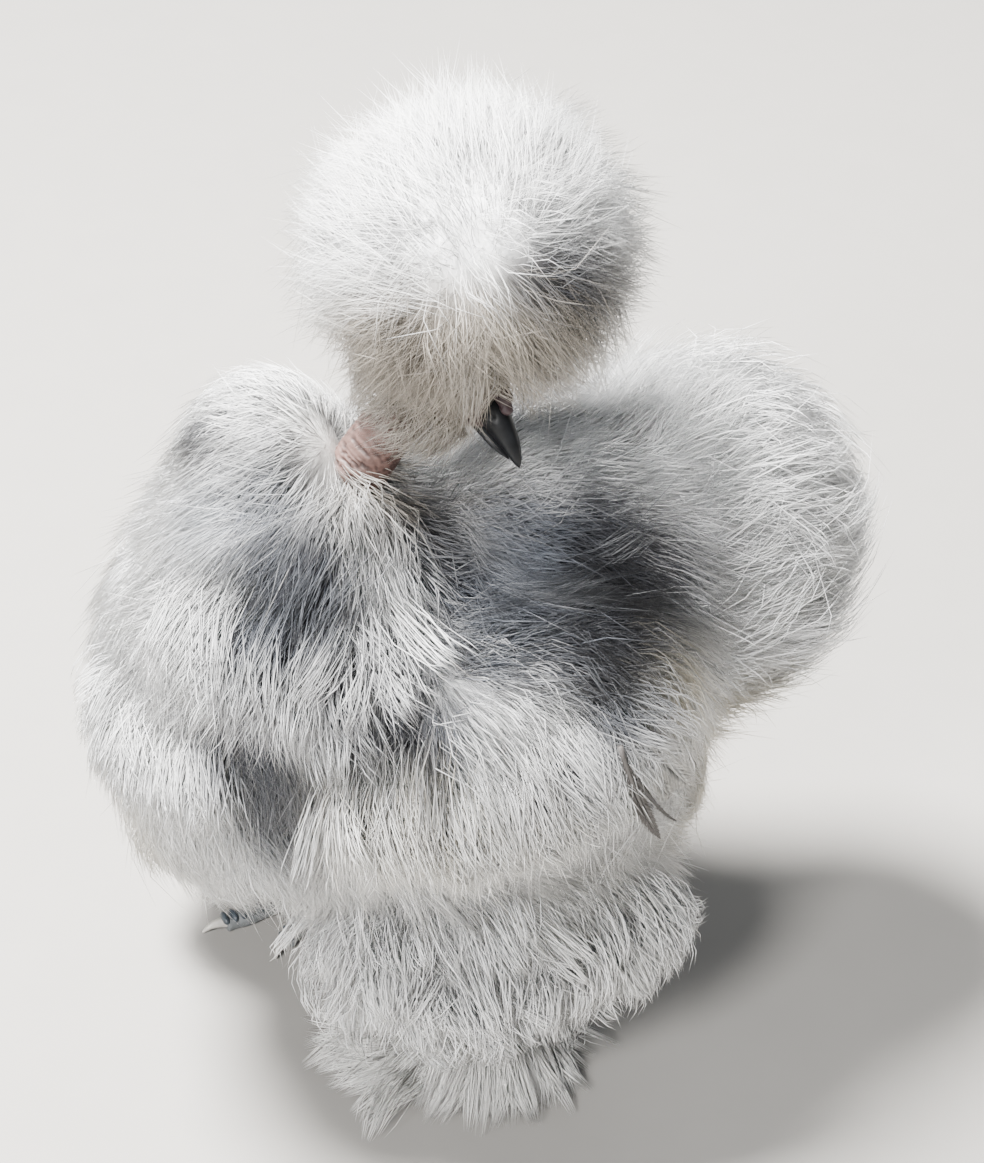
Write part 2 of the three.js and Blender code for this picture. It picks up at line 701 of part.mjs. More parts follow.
// A tier of feathers that fan out from a foot's outer side, just over the floor, clear of those already
// laid.
function plumeTier(foot, plume, rootAt, laid, draw) {
  const tier = [];
  for (let i = 0; i < plume.count; i++) {
    const angle = lerp(plume.from, plume.to, (i + draw(...PLUME.place)) / plume.count);
    const length = plume.length * draw(...PLUME.lengths);
    const width = plume.width * draw(...PLUME.widths);
    const root = rootAt(angle).setZ(plume.root);
    const ahead = toePoint(foot, angle, 1, 0).sub(toePoint(foot, angle, 0, 0));
    const side = ahead.clone().cross(v(0, 0, 1));
    const at = (share, up) => root.clone().addScaledVector(ahead, length * share).setZ(up);
    const make = ({ narrow, lift }) => {
      const middle = plume.root * PLUME.sag + plume.rise * (1 + PLUME.lifted * lift);
      const points = [at(-PLUME.sunk, plume.root), at(0.5, middle), at(1, PLUME.tip)];
      const widths = [width * PLUME.rootShare, width * narrow, 0];
      return { solid: blade(points, side, widths, [plume.thickness, plume.thickness, 0]) };
    };
    const trials = LOCK_TRIALS.map((trial) => () => make(trial));
    tier.push(clearOf([...laid, ...tier], trials) ?? make(LOCK_TRIALS.at(-1)));
  }
  return tier;
}

function addLeg(foot, thigh, seed) {
  const draw = sequence(seed);
  const ankle = () => foot.at.clone();
  const alongToe = (angle) => toePoint(foot, angle * TOE_FEATHER.closing, TOE_FEATHER.along, 0);
  const toeFeathers = plumeTier(foot, TOE_PLUME, alongToe, [], draw);
  const low = plumeTier(foot, LOW_PLUME, ankle, toeFeathers, draw);
  const high = plumeTier(foot, HIGH_PLUME, ankle, [...toeFeathers, ...low], draw);
  const solids = (tier) => tier.map((feather) => feather.solid);
  const claws = TOES.map((toe) => clawBar(foot, toe, GAP));
  const overThigh = ball(thigh, "reach", { scale: CELL_SCALE, grow: GAP });
  const footTools = [footBulk(foot, GAP), ...claws];
  const shank = join([shankBar(foot, 0), ...solids(low), ...solids(high)]);
  add(`shank_${foot.name}`, cut(shank, [overThigh, ...footTools]), SCALES);
  const feathers = cut(join(solids(toeFeathers)), [...claws, ...solids(low), ...solids(high), floorBlock]);
  add(`foot_${foot.name}`, cut(join([footBulk(foot, 0), feathers]), [floorBlock]), SCALES);
  TOES.forEach((toe, i) => {
    const claw = cut(clawBar(foot, toe, 0), [footBulk(foot, GAP), floorBlock]);
    add(`claw_${foot.name}_${i + 1}`, claw, CLAW_HORN);
  });
}

// The mirror image of a form, for the other side of the body.
function mirrored(form) {
  const flip = v(-1, 1, 1);
  return { ...form, centre: form.centre.clone().multiply(flip), whorl: form.whorl.clone().multiply(flip) };
}

// The coat's pieces, from the ones that lie over the others to the ones beneath. "flesh" names the forms
// beneath whose down carries on into the piece, and "limbs" the bars that do.
const COAT = [
  {
    name: "hackle",
    forms: [CAPE, COLLAR],
    flesh: [BREAST, TORSO],
    limbs: [neckBar(0)],
    material: GREY_PLUMAGE,
  },
  { name: "wing_left", forms: [WING, WING_TIP], flesh: [TORSO], flight: 1, material: GREY_PLUMAGE },
  {
    name: "wing_right",
    forms: [mirrored(WING), mirrored(WING_TIP)],
    flesh: [TORSO],
    flight: -1,
    material: GREY_PLUMAGE,
  },
  { name: "breast", forms: [BREAST], flesh: [TORSO, RIGHT_THIGH], material: WHITE_PLUMAGE },
  { name: "saddle", forms: [SADDLE], flesh: [TORSO, TAIL], material: GREY_PLUMAGE },
  {
    name: "torso",
    forms: [TORSO, VENT_FLUFF],
    flesh: [TAIL, LEFT_THIGH, RIGHT_THIGH],
    material: WHITE_PLUMAGE,
  },
  { name: "tail", forms: [TAIL], material: WHITE_PLUMAGE },
  { name: "thigh_left", forms: [LEFT_THIGH], limbs: [shankBar(LEFT_FOOT, 0)], material: WHITE_PLUMAGE },
  { name: "thigh_right", forms: [RIGHT_THIGH], limbs: [shankBar(RIGHT_FOOT, 0)], material: WHITE_PLUMAGE },
];

const cell = (piece, grow) => piece.forms.map((form) => ball(form, "reach", { scale: CELL_SCALE, grow }));

function addCoat() {
  const above = [];
  COAT.forEach((piece, order) => {
    const draw = sequence(COAT_SEED + order);
    const over = COAT.slice(0, order).flatMap((other) => other.forms);
    const under = COAT.slice(order + 1).flatMap((other) => other.forms);
    const flight = piece.flight ? flightFeathers(piece.forms[1], piece.flight, draw) : [];
    const laid = [...flight, ...(piece.limbs ?? [])].map((solid) => ({ solid }));
    const coats = piece.forms.map((form, i) => {
      if (!form.divisions) return ball(form, "core");
      const others = [...piece.forms, ...under].filter((other) => other !== form);
      return coated(form, draw, { others, over, beside: piece.forms.slice(0, i), laid });
    });
    const flesh = [...(piece.flesh ?? []).map((form) => ball(form, "core")), ...(piece.limbs ?? [])];
    const body = flesh.length ? [join(flesh).intersect(join(cell(piece, 0)))] : [];
    add(piece.name, cut(join([...body, ...coats, ...flight]), above), piece.material);
    above.push(...cell(piece, GAP));
  });
}

function addCrest() {
  const skullForm = { centre: SKULL_AT, core: CREST_HOLLOW };
  const face = [headSolid(GAP), neckBar(GAP), ...faceTrim(GAP)];
  const laid = face.map((solid) => ({ solid }));
  const coat = coated(CREST, sequence(CREST_SEED), { others: [skullForm], laid });
  add("crest", cut(coat, face), WHITE_PLUMAGE);
}

addCoat();
add("neck", cut(neckBar(0), [...cell(COAT[0], GAP), headSolid(GAP)]), NECK_SKIN);
addHead();
addCrest();
addLeg(LEFT_FOOT, LEFT_THIGH, LEFT_LEG_SEED);
addLeg(RIGHT_FOOT, RIGHT_THIGH, RIGHT_LEG_SEED);

// The origin is on the floor, under the middle of the whole bird.
const middle = new THREE.Box3().setFromObject(hen).getCenter(v(0, 0, 0));
hen.position.set(-middle.x, -middle.y, 0);

export default hen;
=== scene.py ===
import math

import bmesh
import bpy
import numpy as np
from mathutils import Matrix, Vector


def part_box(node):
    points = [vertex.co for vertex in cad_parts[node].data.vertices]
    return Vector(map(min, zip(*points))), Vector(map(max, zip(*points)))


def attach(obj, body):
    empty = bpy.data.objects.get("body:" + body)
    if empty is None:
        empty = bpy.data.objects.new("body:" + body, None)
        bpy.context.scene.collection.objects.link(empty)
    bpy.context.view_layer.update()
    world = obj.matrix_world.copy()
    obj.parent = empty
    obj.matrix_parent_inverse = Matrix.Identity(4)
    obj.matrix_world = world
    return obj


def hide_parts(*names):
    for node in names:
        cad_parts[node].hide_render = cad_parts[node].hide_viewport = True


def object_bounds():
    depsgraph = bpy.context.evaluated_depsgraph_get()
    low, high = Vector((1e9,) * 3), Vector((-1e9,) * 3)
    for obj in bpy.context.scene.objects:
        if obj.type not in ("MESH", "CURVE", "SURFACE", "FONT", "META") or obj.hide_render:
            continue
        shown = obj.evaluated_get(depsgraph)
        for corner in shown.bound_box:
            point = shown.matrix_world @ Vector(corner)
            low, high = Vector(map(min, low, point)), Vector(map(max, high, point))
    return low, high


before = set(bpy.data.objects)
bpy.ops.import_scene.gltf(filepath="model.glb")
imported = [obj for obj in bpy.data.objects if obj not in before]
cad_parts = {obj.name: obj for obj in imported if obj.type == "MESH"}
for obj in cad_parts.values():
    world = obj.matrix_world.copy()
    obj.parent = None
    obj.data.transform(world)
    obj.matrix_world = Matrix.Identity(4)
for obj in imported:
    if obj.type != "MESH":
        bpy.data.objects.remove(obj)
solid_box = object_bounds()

# Where the hen stands.
# Her sizes and places are in millimetres from a point between her feet, with the breast towards -Y and
# the left wing towards +X. Her head is turned back over the left shoulder, and her left eye says where
# the frame has put her.
def heading(turn, rise):
    """The direction at a turn from -Y towards +X, and at a rise above the level."""
    return np.array((math.sin(turn) * math.cos(rise), -math.cos(turn) * math.cos(rise), math.sin(rise)))


MM = 0.001
SKULL_AT = np.array((16.0, 0.5, 267.5))
HEAD_TURN = math.radians(116)
HEAD_PITCH = math.radians(33)
FORWARD = heading(HEAD_TURN, -HEAD_PITCH)
LEFT = np.array((math.cos(HEAD_TURN), math.sin(HEAD_TURN), 0))
CROWN = np.cross(FORWARD, LEFT)
EYE_AT = (7.0, 8.6, 3.0)


def head_point(forward, left, up):
    """A place on the head, from the middle of the skull."""
    return SKULL_AT + forward * FORWARD + left * LEFT + up * CROWN


eye_low, eye_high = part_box("eye_left")
STANDS_AT = np.array((eye_low + eye_high) / 2) / MM - head_point(*EYE_AT)


def in_frame(points):
    """Places on the hen as metres in the frame."""
    return (np.asarray(points, float) + STANDS_AT) * MM


# The camera.
# It looks down on her left side from in front, as it did in the photograph. The aim is a point in her
# body and the pixel where it shows, in an image of 984 by 1163.
CAMERA_TURN = math.radians(72)
CAMERA_RISE = math.radians(37)
CAMERA_DISTANCE = 1000
CAMERA_AIM = np.array((0, 5, 165))
AIM_PIXEL = (455, 600)
IMAGE_SIZE = (984, 1163)
FOCAL_PIXELS = 3050
SENSOR = 36

camera_back = heading(CAMERA_TURN, CAMERA_RISE)
camera_right = np.array((math.cos(CAMERA_TURN), math.sin(CAMERA_TURN), 0))
camera_up = np.cross(camera_back, camera_right)
look = Vector(
    -camera_back
    + camera_right * (IMAGE_SIZE[0] / 2 - AIM_PIXEL[0]) / FOCAL_PIXELS
    + camera_up * (AIM_PIXEL[1] - IMAGE_SIZE[1] / 2) / FOCAL_PIXELS
).normalized()
camera_data = bpy.data.cameras.new("camera")
camera_data.sensor_width = SENSOR
camera_data.lens = FOCAL_PIXELS * SENSOR / IMAGE_SIZE[1]
camera = bpy.data.objects.new("camera", camera_data)
bpy.context.collection.objects.link(camera)
across = look.cross(Vector(camera_up)).normalized()
turn = Matrix((across, across.cross(look), -look)).transposed().to_4x4()
camera_place = Vector(in_frame(CAMERA_AIM + camera_back * CAMERA_DISTANCE))
camera.matrix_world = Matrix.Translation(camera_place) @ turn
bpy.context.scene.camera = camera


# The floor and the light.
# A plain pale floor in a light grey room. A large strong lamp stands high over her right breast, where the
# daylight came from, a fainter one on the camera's side, and a faint one behind her.
LAMPS_AIM = (0, 0, 0.16)


def lamp(name, place, size, power, tint):
    data = bpy.data.lights.new(name, "AREA")
    data.shape = "DISK"
    data.size = size
    data.energy = power
    data.color = tint
    made = bpy.data.objects.new(name, data)
    made.location = place
    made.rotation_mode = "QUATERNION"
    made.rotation_quaternion = (Vector(LAMPS_AIM) - Vector(place)).to_track_quat("-Z", "Y")
    bpy.context.collection.objects.link(made)


lamp("sun_lamp", (-0.42, -0.62, 2.0), 0.65, 520, (1, 0.985, 0.96))
lamp("camera_lamp", (1.0, -1.0, 1.15), 0.5, 72, (1, 0.99, 0.975))
lamp("back_lamp", (-0.9, 1.0, 1.2), 0.8, 12, (0.95, 0.98, 1))

room = bpy.data.worlds.new("room")
room.use_nodes = True
room.node_tree.nodes["Background"].inputs["Color"].default_value = (0.92, 0.95, 1, 1)
room.node_tree.nodes["Background"].inputs["Strength"].default_value = 0.26
bpy.context.scene.world = room
# Light passes from hair to hair only once, which keeps the shade between the locks, and the long thin
# hairs are sorted finely, so that a ray meets few of them.
bpy.context.scene.cycles.max_bounces = 1
bpy.context.scene.cycles.debug_use_spatial_splits = True
NOISE_RANGE = (0.3, 0.7)
GRAIN_HEIGHT = 0.0005


def paint(name, roughness, mottle, grain, bump, tint=None, **shine):
    """A finish of one tint, or of the mesh's own tints, mottled by noise, with the noise's grain as bump."""
    made = bpy.data.materials.new(name)
    made.use_nodes = True
    nodes = made.node_tree.nodes
    link = made.node_tree.links.new
    surface = nodes["Principled BSDF"]
    surface.inputs["Roughness"].default_value = roughness
    for socket, value in shine.items():
        surface.inputs[socket.replace("_", " ")].default_value = value
    place = nodes.new("ShaderNodeTexCoord")
    noise = nodes.new("ShaderNodeTexNoise")
    noise.inputs["Scale"].default_value = grain
    noise.inputs["Detail"].default_value = 3
    link(place.outputs["Object"], noise.inputs["Vector"])
    shade = nodes.new("ShaderNodeMapRange")
    for end, value in zip(("From Min", "From Max", "To Min", "To Max"), (*NOISE_RANGE, *mottle)):
        shade.inputs[end].default_value = value
    link(noise.outputs["Fac"], shade.inputs["Value"])
    mixed = nodes.new("ShaderNodeMix")
    mixed.data_type = "RGBA"
    mixed.blend_type = "MULTIPLY"
    mixed.inputs["Factor"].default_value = 1
    if tint is None:
        colour = nodes.new("ShaderNodeAttribute")
        colour.attribute_name = "tint"
        link(colour.outputs["Color"], mixed.inputs[6])
    else:
        mixed.inputs[6].default_value = (*tint, 1)
    link(shade.outputs["Result"], mixed.inputs[7])
    link(mixed.outputs[2], surface.inputs["Base Color"])
    if bump:
        relief = nodes.new("ShaderNodeBump")
        relief.inputs["Strength"].default_value = bump
        relief.inputs["Distance"].default_value = GRAIN_HEIGHT
        link(noise.outputs["Fac"], relief.inputs["Height"])
        link(relief.outputs["Normal"], surface.inputs["Normal"])
    return made


floor_mesh = bpy.data.meshes.new("floor")
FLOOR_REACH = 6
floor_corners = [(x * FLOOR_REACH, y * FLOOR_REACH, 0) for x, y in ((-1, -1), (1, -1), (1, 1), (-1, 1))]
floor_mesh.from_pydata(floor_corners, [], [(0, 1, 2, 3)])
floor_mesh.materials.append(paint("pale_floor", 0.8, (0.97, 1), 40, 0, tint=(0.26, 0.25, 0.235)))
floor = bpy.data.objects.new("floor", floor_mesh)
bpy.context.collection.objects.link(floor)


# The forms of the plumage.
# Each is an ellipsoid round a centre. "Reach" is where its feathers' tips end, they lie away from the
# direction "whorl", and "tilt" turns the form about X.
CAPE = dict(centre=(0, -44, 190), reach=(61, 53, 52), whorl=(0.1, 0.36, 0.93))
COLLAR = dict(centre=(-10, -52, 225), reach=(35, 30, 31), whorl=(0.47, 0.74, 0.47))
BREAST = dict(centre=(-2, -62, 141), reach=(72, 56, 74), whorl=(0, -0.35, 0.95))
SADDLE = dict(centre=(0, 36, 186), reach=(58, 50, 42), whorl=(0, -1, 0.25))
TORSO = dict(centre=(0, -10, 140), reach=(84, 94, 78), whorl=(0, -0.5, 0.87))
VENT = dict(centre=(10, 48, 96), reach=(50, 42, 42), whorl=(0, -0.9, 0.5))
TAIL = dict(centre=(-2, 88, 172), reach=(62, 58, 69), whorl=(0, -0.95, -0.3), tilt=-12)
WING_LEFT = dict(centre=(62, 6, 156), reach=(31, 63, 47), whorl=(-0.3, -0.42, 0.86), tilt=12)
TIP_LEFT = dict(centre=(50, 46, 122), reach=(22, 32, 32), whorl=(0.2, -0.75, 0.6))
THIGH_LEFT = dict(centre=(44, 5, 66), reach=(45, 67, 46), whorl=(0, -0.3, 1))
THIGH_RIGHT = dict(centre=(-48, -50, 65), reach=(42, 54, 46), whorl=(0, -0.3, 1))
CREST = dict(centre=(12, 6, 303), reach=(52, 53, 50), whorl=(0.93, -0.15, 0.3))


def mirrored(form):
    """The same form on the right side."""
    return form | {key: (-form[key][0], *form[key][1:]) for key in ("centre", "whorl")}


WING_RIGHT = mirrored(WING_LEFT)
TIP_RIGHT = mirrored(TIP_LEFT)
BODY = [CAPE, COLLAR, BREAST, SADDLE, TORSO, VENT, TAIL, WING_LEFT, TIP_LEFT, WING_RIGHT, TIP_RIGHT]
BODY += [THIGH_LEFT, THIGH_RIGHT, CREST]


def turn_of(form):
    """The form's tilt about X, or its own axes, as a matrix for rows of points."""
    if "axes" in form:
        return form["axes"]
    tilt = math.radians(form.get("tilt", 0))
    return np.array(((1, 0, 0), (0, math.cos(tilt), math.sin(tilt)), (0, -math.sin(tilt), math.cos(tilt))))


def unit(rows):
    return rows / np.maximum(np.linalg.norm(rows, axis=-1, keepdims=True), 1e-9)


# The markings and painted shade.
# She is a white hen with smoke-grey clouds on the cape, wings, back and crest, darkest on the saddle, and
# warm cream and beige under the tail and the crest. The blue-grey clouds are partly grey feathers and
# partly painted bluish shade, the beige under the crest is partly painted shade, and one small smoke cloud
# under the wing's fringe is painted shadow. Each cloud has a middle, a size, a colour and a strength. Skin
# and feathers both take their colour from them, and a later cloud covers an earlier one.
WHITE = np.array((0.88, 0.885, 0.89))
# A blue-grey that is partly grey feathers and partly painted bluish shade.
BLUE_GREY_AND_SHADE = np.array((0.25, 0.285, 0.35))
SMOKE = np.array((0.040, 0.047, 0.064))
INK = np.array((0.012, 0.014, 0.022))
CREAM = np.array((0.74, 0.66, 0.48))
# A warm beige that is partly the crest's own colour and partly painted shade under it.
BEIGE_AND_SHADE = np.array((0.36, 0.315, 0.255))
CLOUD_SPREAD = 2.45
CLOUD_FALL = (1.5, 1.25)
CLOUD_CHANCE = (0.32, 0.8)
TAKEN_FULLY, HARDLY_TAKEN = 1.2, 0.25
CAPE_CLOUDS = [
    ((48, -64, 215), 13, INK, 1.0), ((21, -64, 234), 9, SMOKE, 0.55), ((26, -8, 221), 11, INK, 0.8),
    ((-10, -79, 237), 6, INK, 0.95), ((16, -64, 242), 6, SMOKE, 0.6), ((9, -87, 220), 7, BLUE_GREY_AND_SHADE, 0.6),
    ((27, -72, 227), 8, BLUE_GREY_AND_SHADE, 0.45), ((43, -58, 225), 7, SMOKE, 0.85), ((41, -73, 216), 6, SMOKE, 0.8),
    ((51, -61, 213), 9, SMOKE, 0.95), ((49, -72, 203), 8, SMOKE, 0.9), ((55, -51, 209), 6, SMOKE, 0.6),
    ((30, -21, 229), 7, INK, 0.75), ((29, -11, 222), 9, INK, 0.9), ((17, 5, 216), 7, SMOKE, 0.8),
    ((39, -24, 225), 6, INK, 0.8), ((0, 2, 217), 6, SMOKE, 0.4), ((-56, -20, 205), 16, SMOKE, 0.7),
]
SADDLE_CLOUDS = [
    ((38, -5, 212), 8, SMOKE, 0.8), ((50, 1, 202), 7, SMOKE, 0.9), ((33, 17, 217), 8, BLUE_GREY_AND_SHADE, 0.9),
    ((45, 21, 209), 9, BLUE_GREY_AND_SHADE, 0.8), ((33, 38, 220), 8, SMOKE, 0.7), ((45, 42, 212), 10, SMOKE, 0.9),
    ((54, 38, 201), 8, INK, 0.75), ((54, 50, 197), 11, INK, 0.9), ((51, 67, 195), 7, SMOKE, 0.75),
    ((44, 65, 208), 7, SMOKE, 0.4), ((57, 72, 182), 7, SMOKE, 0.6), ((-48, 44, 205), 18, SMOKE, 0.7),
]
WING_CLOUDS = [
    ((49, -6, 203), 8, SMOKE, 0.85), ((71, -7, 199), 8, SMOKE, 0.85), ((61, 9, 204), 8, BLUE_GREY_AND_SHADE, 0.7),
    ((76, 15, 198), 8, SMOKE, 0.7), ((75, 29, 198), 9, INK, 0.85), ((84, 37, 183), 8, SMOKE, 0.8),
    ((66, -45, 178), 11, INK, 0.95), ((86, -26, 171), 8, SMOKE, 0.85), ((88, 30, 178), 6, SMOKE, 0.8),
    ((69, -3, 201), 7, SMOKE, 0.95), ((77, -8, 195), 4, SMOKE, 0.5), ((61, 19, 204), 8, SMOKE, 0.5),
    ((74, 10, 200), 6, SMOKE, 0.5), ((69, 50, 192), 8, INK, 0.85), ((74, 37, 195), 7, INK, 0.8),
    ((83, 31, 187), 5, INK, 0.8), ((72, 59, 180), 7, SMOKE, 0.6), ((62, -53, 178), 7, SMOKE, 0.95),
    ((75, -41, 176), 7, SMOKE, 0.85), ((66, -57, 168), 5, SMOKE, 0.6), ((81, -29, 180), 7, SMOKE, 0.8),
    # The small smoke cloud at (93, 9, 158) is painted shadow under the wing's fringe.
    ((86, -24, 171), 5, SMOKE, 0.65), ((88, -29, 157), 5, SMOKE, 0.65), ((93, 9, 158), 4, SMOKE, 0.5),
    ((-72, 14, 190), 16, SMOKE, 0.6), ((-80, -20, 160), 14, SMOKE, 0.45),
]
FLANK_CLOUDS = [
    ((57, -81, 175), 8, SMOKE, 0.85), ((66, -77, 155), 8, SMOKE, 0.9), ((68, -71, 130), 7, SMOKE, 0.8),
    ((49, -81, 186), 4, SMOKE, 0.6), ((60, -83, 167), 7, SMOKE, 0.8), ((66, -79, 155), 7, SMOKE, 0.85),
    ((68, -76, 143), 7, SMOKE, 0.9), ((68, -71, 129), 7, SMOKE, 0.85), ((51, -92, 171), 4, SMOKE, 0.4),
]
WARM_CLOUDS = [
    ((74, -53, 147), 6, CREAM, 0.6), ((85, -34, 141), 6, CREAM, 0.6), ((90, -10, 138), 6, CREAM, 0.6),
    ((92, 9, 144), 6, CREAM, 0.5),
    ((76, 61, 166), 7, CREAM, 0.8), ((30, 84, 112), 18, CREAM, 0.9), ((84, -34, 137), 10, CREAM, 0.5),
    ((0, -104, 95), 16, CREAM, 0.4), ((-48, -100, 60), 20, CREAM, 0.45), ((77, 30, 80), 14, CREAM, 0.2),
]
CREST_CLOUDS = [
    ((48, -27, 283), 14, BEIGE_AND_SHADE, 0.95), ((60, -12, 288), 12, BEIGE_AND_SHADE, 0.8), ((62, 12, 290), 13, BEIGE_AND_SHADE, 1.0),
    ((34, -38, 283), 11, BEIGE_AND_SHADE, 0.8), ((58, 29, 298), 11, BEIGE_AND_SHADE, 0.9), ((20, -6, 258), 20, BEIGE_AND_SHADE, 1.0),
    ((57, 22, 316), 8, INK, 1.0), ((59, 14, 313), 6, INK, 0.9), ((53, 31, 310), 7, INK, 1.0),
]
CLOUDS = CAPE_CLOUDS + SADDLE_CLOUDS + WING_CLOUDS + FLANK_CLOUDS + WARM_CLOUDS + CREST_CLOUDS


def marked(points, chance=None):
    """The hen's colour at each point. A feather of low chance takes a cloud fully, another one hardly."""
    tint = np.broadcast_to(WHITE, points.shape).copy()
    for middle, size, colour, strength in CLOUDS:
        away = np.linalg.norm(points - np.array(middle), axis=-1) / (size * CLOUD_SPREAD)
        near = np.clip(CLOUD_FALL[0] - CLOUD_FALL[1] * away, 0, 1) * strength
        if chance is not None:
            taken = chance < CLOUD_CHANCE[0] + CLOUD_CHANCE[1] * near
            near = near * np.where(taken, TAKEN_FULLY, HARDLY_TAKEN)
        tint += (colour - tint) * np.clip(near, 0, 1)[..., None]
    return tint


def fill_mesh(name, points, triangles, tints=None, patches=None):
    """A mesh from millimetre points and triangles, with a tint a point and an OFBake place a corner."""
    mesh = bpy.data.meshes.new(name)
    mesh.vertices.add(len(points))
    mesh.vertices.foreach_set("co", in_frame(points).astype(np.float32).ravel())
    mesh.loops.add(triangles.size)
    mesh.loops.foreach_set("vertex_index", triangles.astype(np.int32).ravel())
    mesh.polygons.add(len(triangles))
    mesh.polygons.foreach_set("loop_start", np.arange(0, triangles.size, 3, dtype=np.int32))
    mesh.polygons.foreach_set("use_smooth", np.ones(len(triangles), bool))
    mesh.update(calc_edges=True)
    if tints is not None:
        layer = mesh.attributes.new("tint", "FLOAT_COLOR", "POINT")
        colours = np.column_stack((tints, np.ones(len(tints))))
        layer.data.foreach_set("color", colours.astype(np.float32).ravel())
    if patches is not None:
        layer = mesh.uv_layers.new(name="OFBake")
        layer.data.foreach_set("uv", patches[triangles.ravel()].astype(np.float32).ravel())
    return mesh


def place(name, mesh, material, slot, *nodes):
    """Puts a finished mesh in the scene as a piece that rides on the hen and stands for CAD nodes."""
    made = bpy.data.objects.new(name, mesh)
    bpy.context.collection.objects.link(made)
    mesh.materials.clear()
    mesh.materials.append(material)
    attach(made, "root")
    if nodes:
        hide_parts(*nodes)


# The skin.
# One skin covers the trunk, thighs, neck, head and legs. The trunk lies deep in the plumage. The head
# carries a small walnut comb, wattles, blue-green ear lobes and lids, and the neck is bare and wrinkled.
BEAD_FINENESS = 4
BODY_VOXEL = 3.0
SKIN_DEPTH = 0.74
DOWN_PAINTED_SHADE = 0.9
HEAD_VOXEL = 0.6
FOOT_VOXEL = 0.9
NECK_PATH = np.array(((2, -40, 205), (4, -31, 222), (7, -21, 240), (10, -10, 254), (14, -1, 264)), float)
NECK_RADIUS = 9
NECK_FLARE = 2.5
BARE_TO = 0.93
SKULL_BEADS = [((0, 0, 0), (15, 12.5, 12.5)), ((9, 0, -2.5), (12, 8.4, 9.6)), ((-5, 0, -6), (11, 9.5, 10))]
COMB_LUMPS = [(13.5, 2.5, 9.4, 2.8), (13.8, -2.5, 9.2, 2.7), (18, 0.4, 8.1, 2.9), (21.3, -0.2, 6.6, 2.1)]
WATTLE_BEADS = [((9.5, 4.4, -12.5), (4.4, 2.1, 4.6)), ((7, 5, -11), (3.4, 1.8, 4))]
LOBE_BEAD = ((-1, 12.4, -5), (3.2, 1.6, 4.2))
LID_RADIUS = 3.9
LID_THICKNESS = 1.1
LID_LIFT = 1.3
LID_YAW = math.radians(16)
LID_LONG, LID_HIGH = 1.12, 0.9
PATH_STEPS = 59
PINK = np.array((0.13, 0.074, 0.062))
FURROW_PAINTED_SHADE = np.array((0.022, 0.012, 0.011))
WRINKLE = 2.3
MULBERRY = np.array((0.034, 0.017, 0.02))
LOBE_BLUE = np.array((0.10, 0.30, 0.36))
SEAM = np.array((0.15, 0.16, 0.165))
HEAD_AXES = np.array((FORWARD, LEFT, CROWN))


def bead(middle, radii, axes=np.eye(3)):
    """A closed ellipsoid whose radii run along three axes."""
    ball = bmesh.new()
    bmesh.ops.create_icosphere(ball, subdivisions=BEAD_FINENESS, radius=1)
    points = np.array([corner.co[:] for corner in ball.verts]) * radii @ axes + middle
    triangles = np.array([[corner.index for corner in face.verts] for face in ball.faces])
    ball.free()
    return points, triangles


def tube(path, radii, sides=20):
    """A closed round bar along a path of points, with a radius at each."""
    path = np.asarray(path, float)
    along = unit(np.gradient(path, axis=0))
    helper = np.array((0.3, 0.2, 1.0)) if abs(along[0][2]) < 0.9 else np.array((1.0, 0.1, 0))
    across = unit(np.cross(along, helper))
    over = np.cross(across, along)
    angles = np.linspace(0, 2 * math.pi, sides, endpoint=False)
    spokes = [
        (axis[:, None] * turned(angles)[None, :, None]) * np.asarray(radii)[:, None, None]
        for axis, turned in ((across, np.cos), (over, np.sin))
    ]
    return skinned(path[:, None] + spokes[0] + spokes[1])


def skinned(rings):
    """A closed surface over rings of as many points each."""
    count, sides = rings.shape[:2]
    grid = np.arange(count * sides).reshape(count, sides)
    a, b = grid[:-1], np.roll(grid[:-1], -1, 1)
    c, d = np.roll(grid[1:], -1, 1), grid[1:]
    triangles = [np.stack((a, b, c), -1).reshape(-1, 3), np.stack((a, c, d), -1).reshape(-1, 3)]
    first, last = count * sides, count * sides + 1
    triangles.append(np.stack((np.roll(grid[0], -1), grid[0], np.full(sides, first)), -1))
    triangles.append(np.stack((grid[-1], np.roll(grid[-1], -1), np.full(sides, last)), -1))
    points = np.vstack((rings.reshape(-1, 3), rings[0].mean(0), rings[-1].mean(0)))
    return points, facing_out(points, np.vstack(triangles))


def facing_out(points, triangles):
    """The same closed surface with its faces pointing outwards."""
    a, b, c = (points[triangles[:, i]] - points[0] for i in range(3))
    return triangles if np.einsum("ij,ij->i", a, np.cross(b, c)).sum() > 0 else triangles[:, ::-1]


def gathered(parts):
    """Several surfaces as one: their points, their triangles, and whatever else their points have."""
    points, triangles, *others = zip(*parts)
    starts = np.cumsum([0] + [len(one) for one in points[:-1]])
    joined = [one + start for one, start in zip(triangles, starts)]
    return np.vstack(points), np.vstack(joined), *map(np.vstack, others)


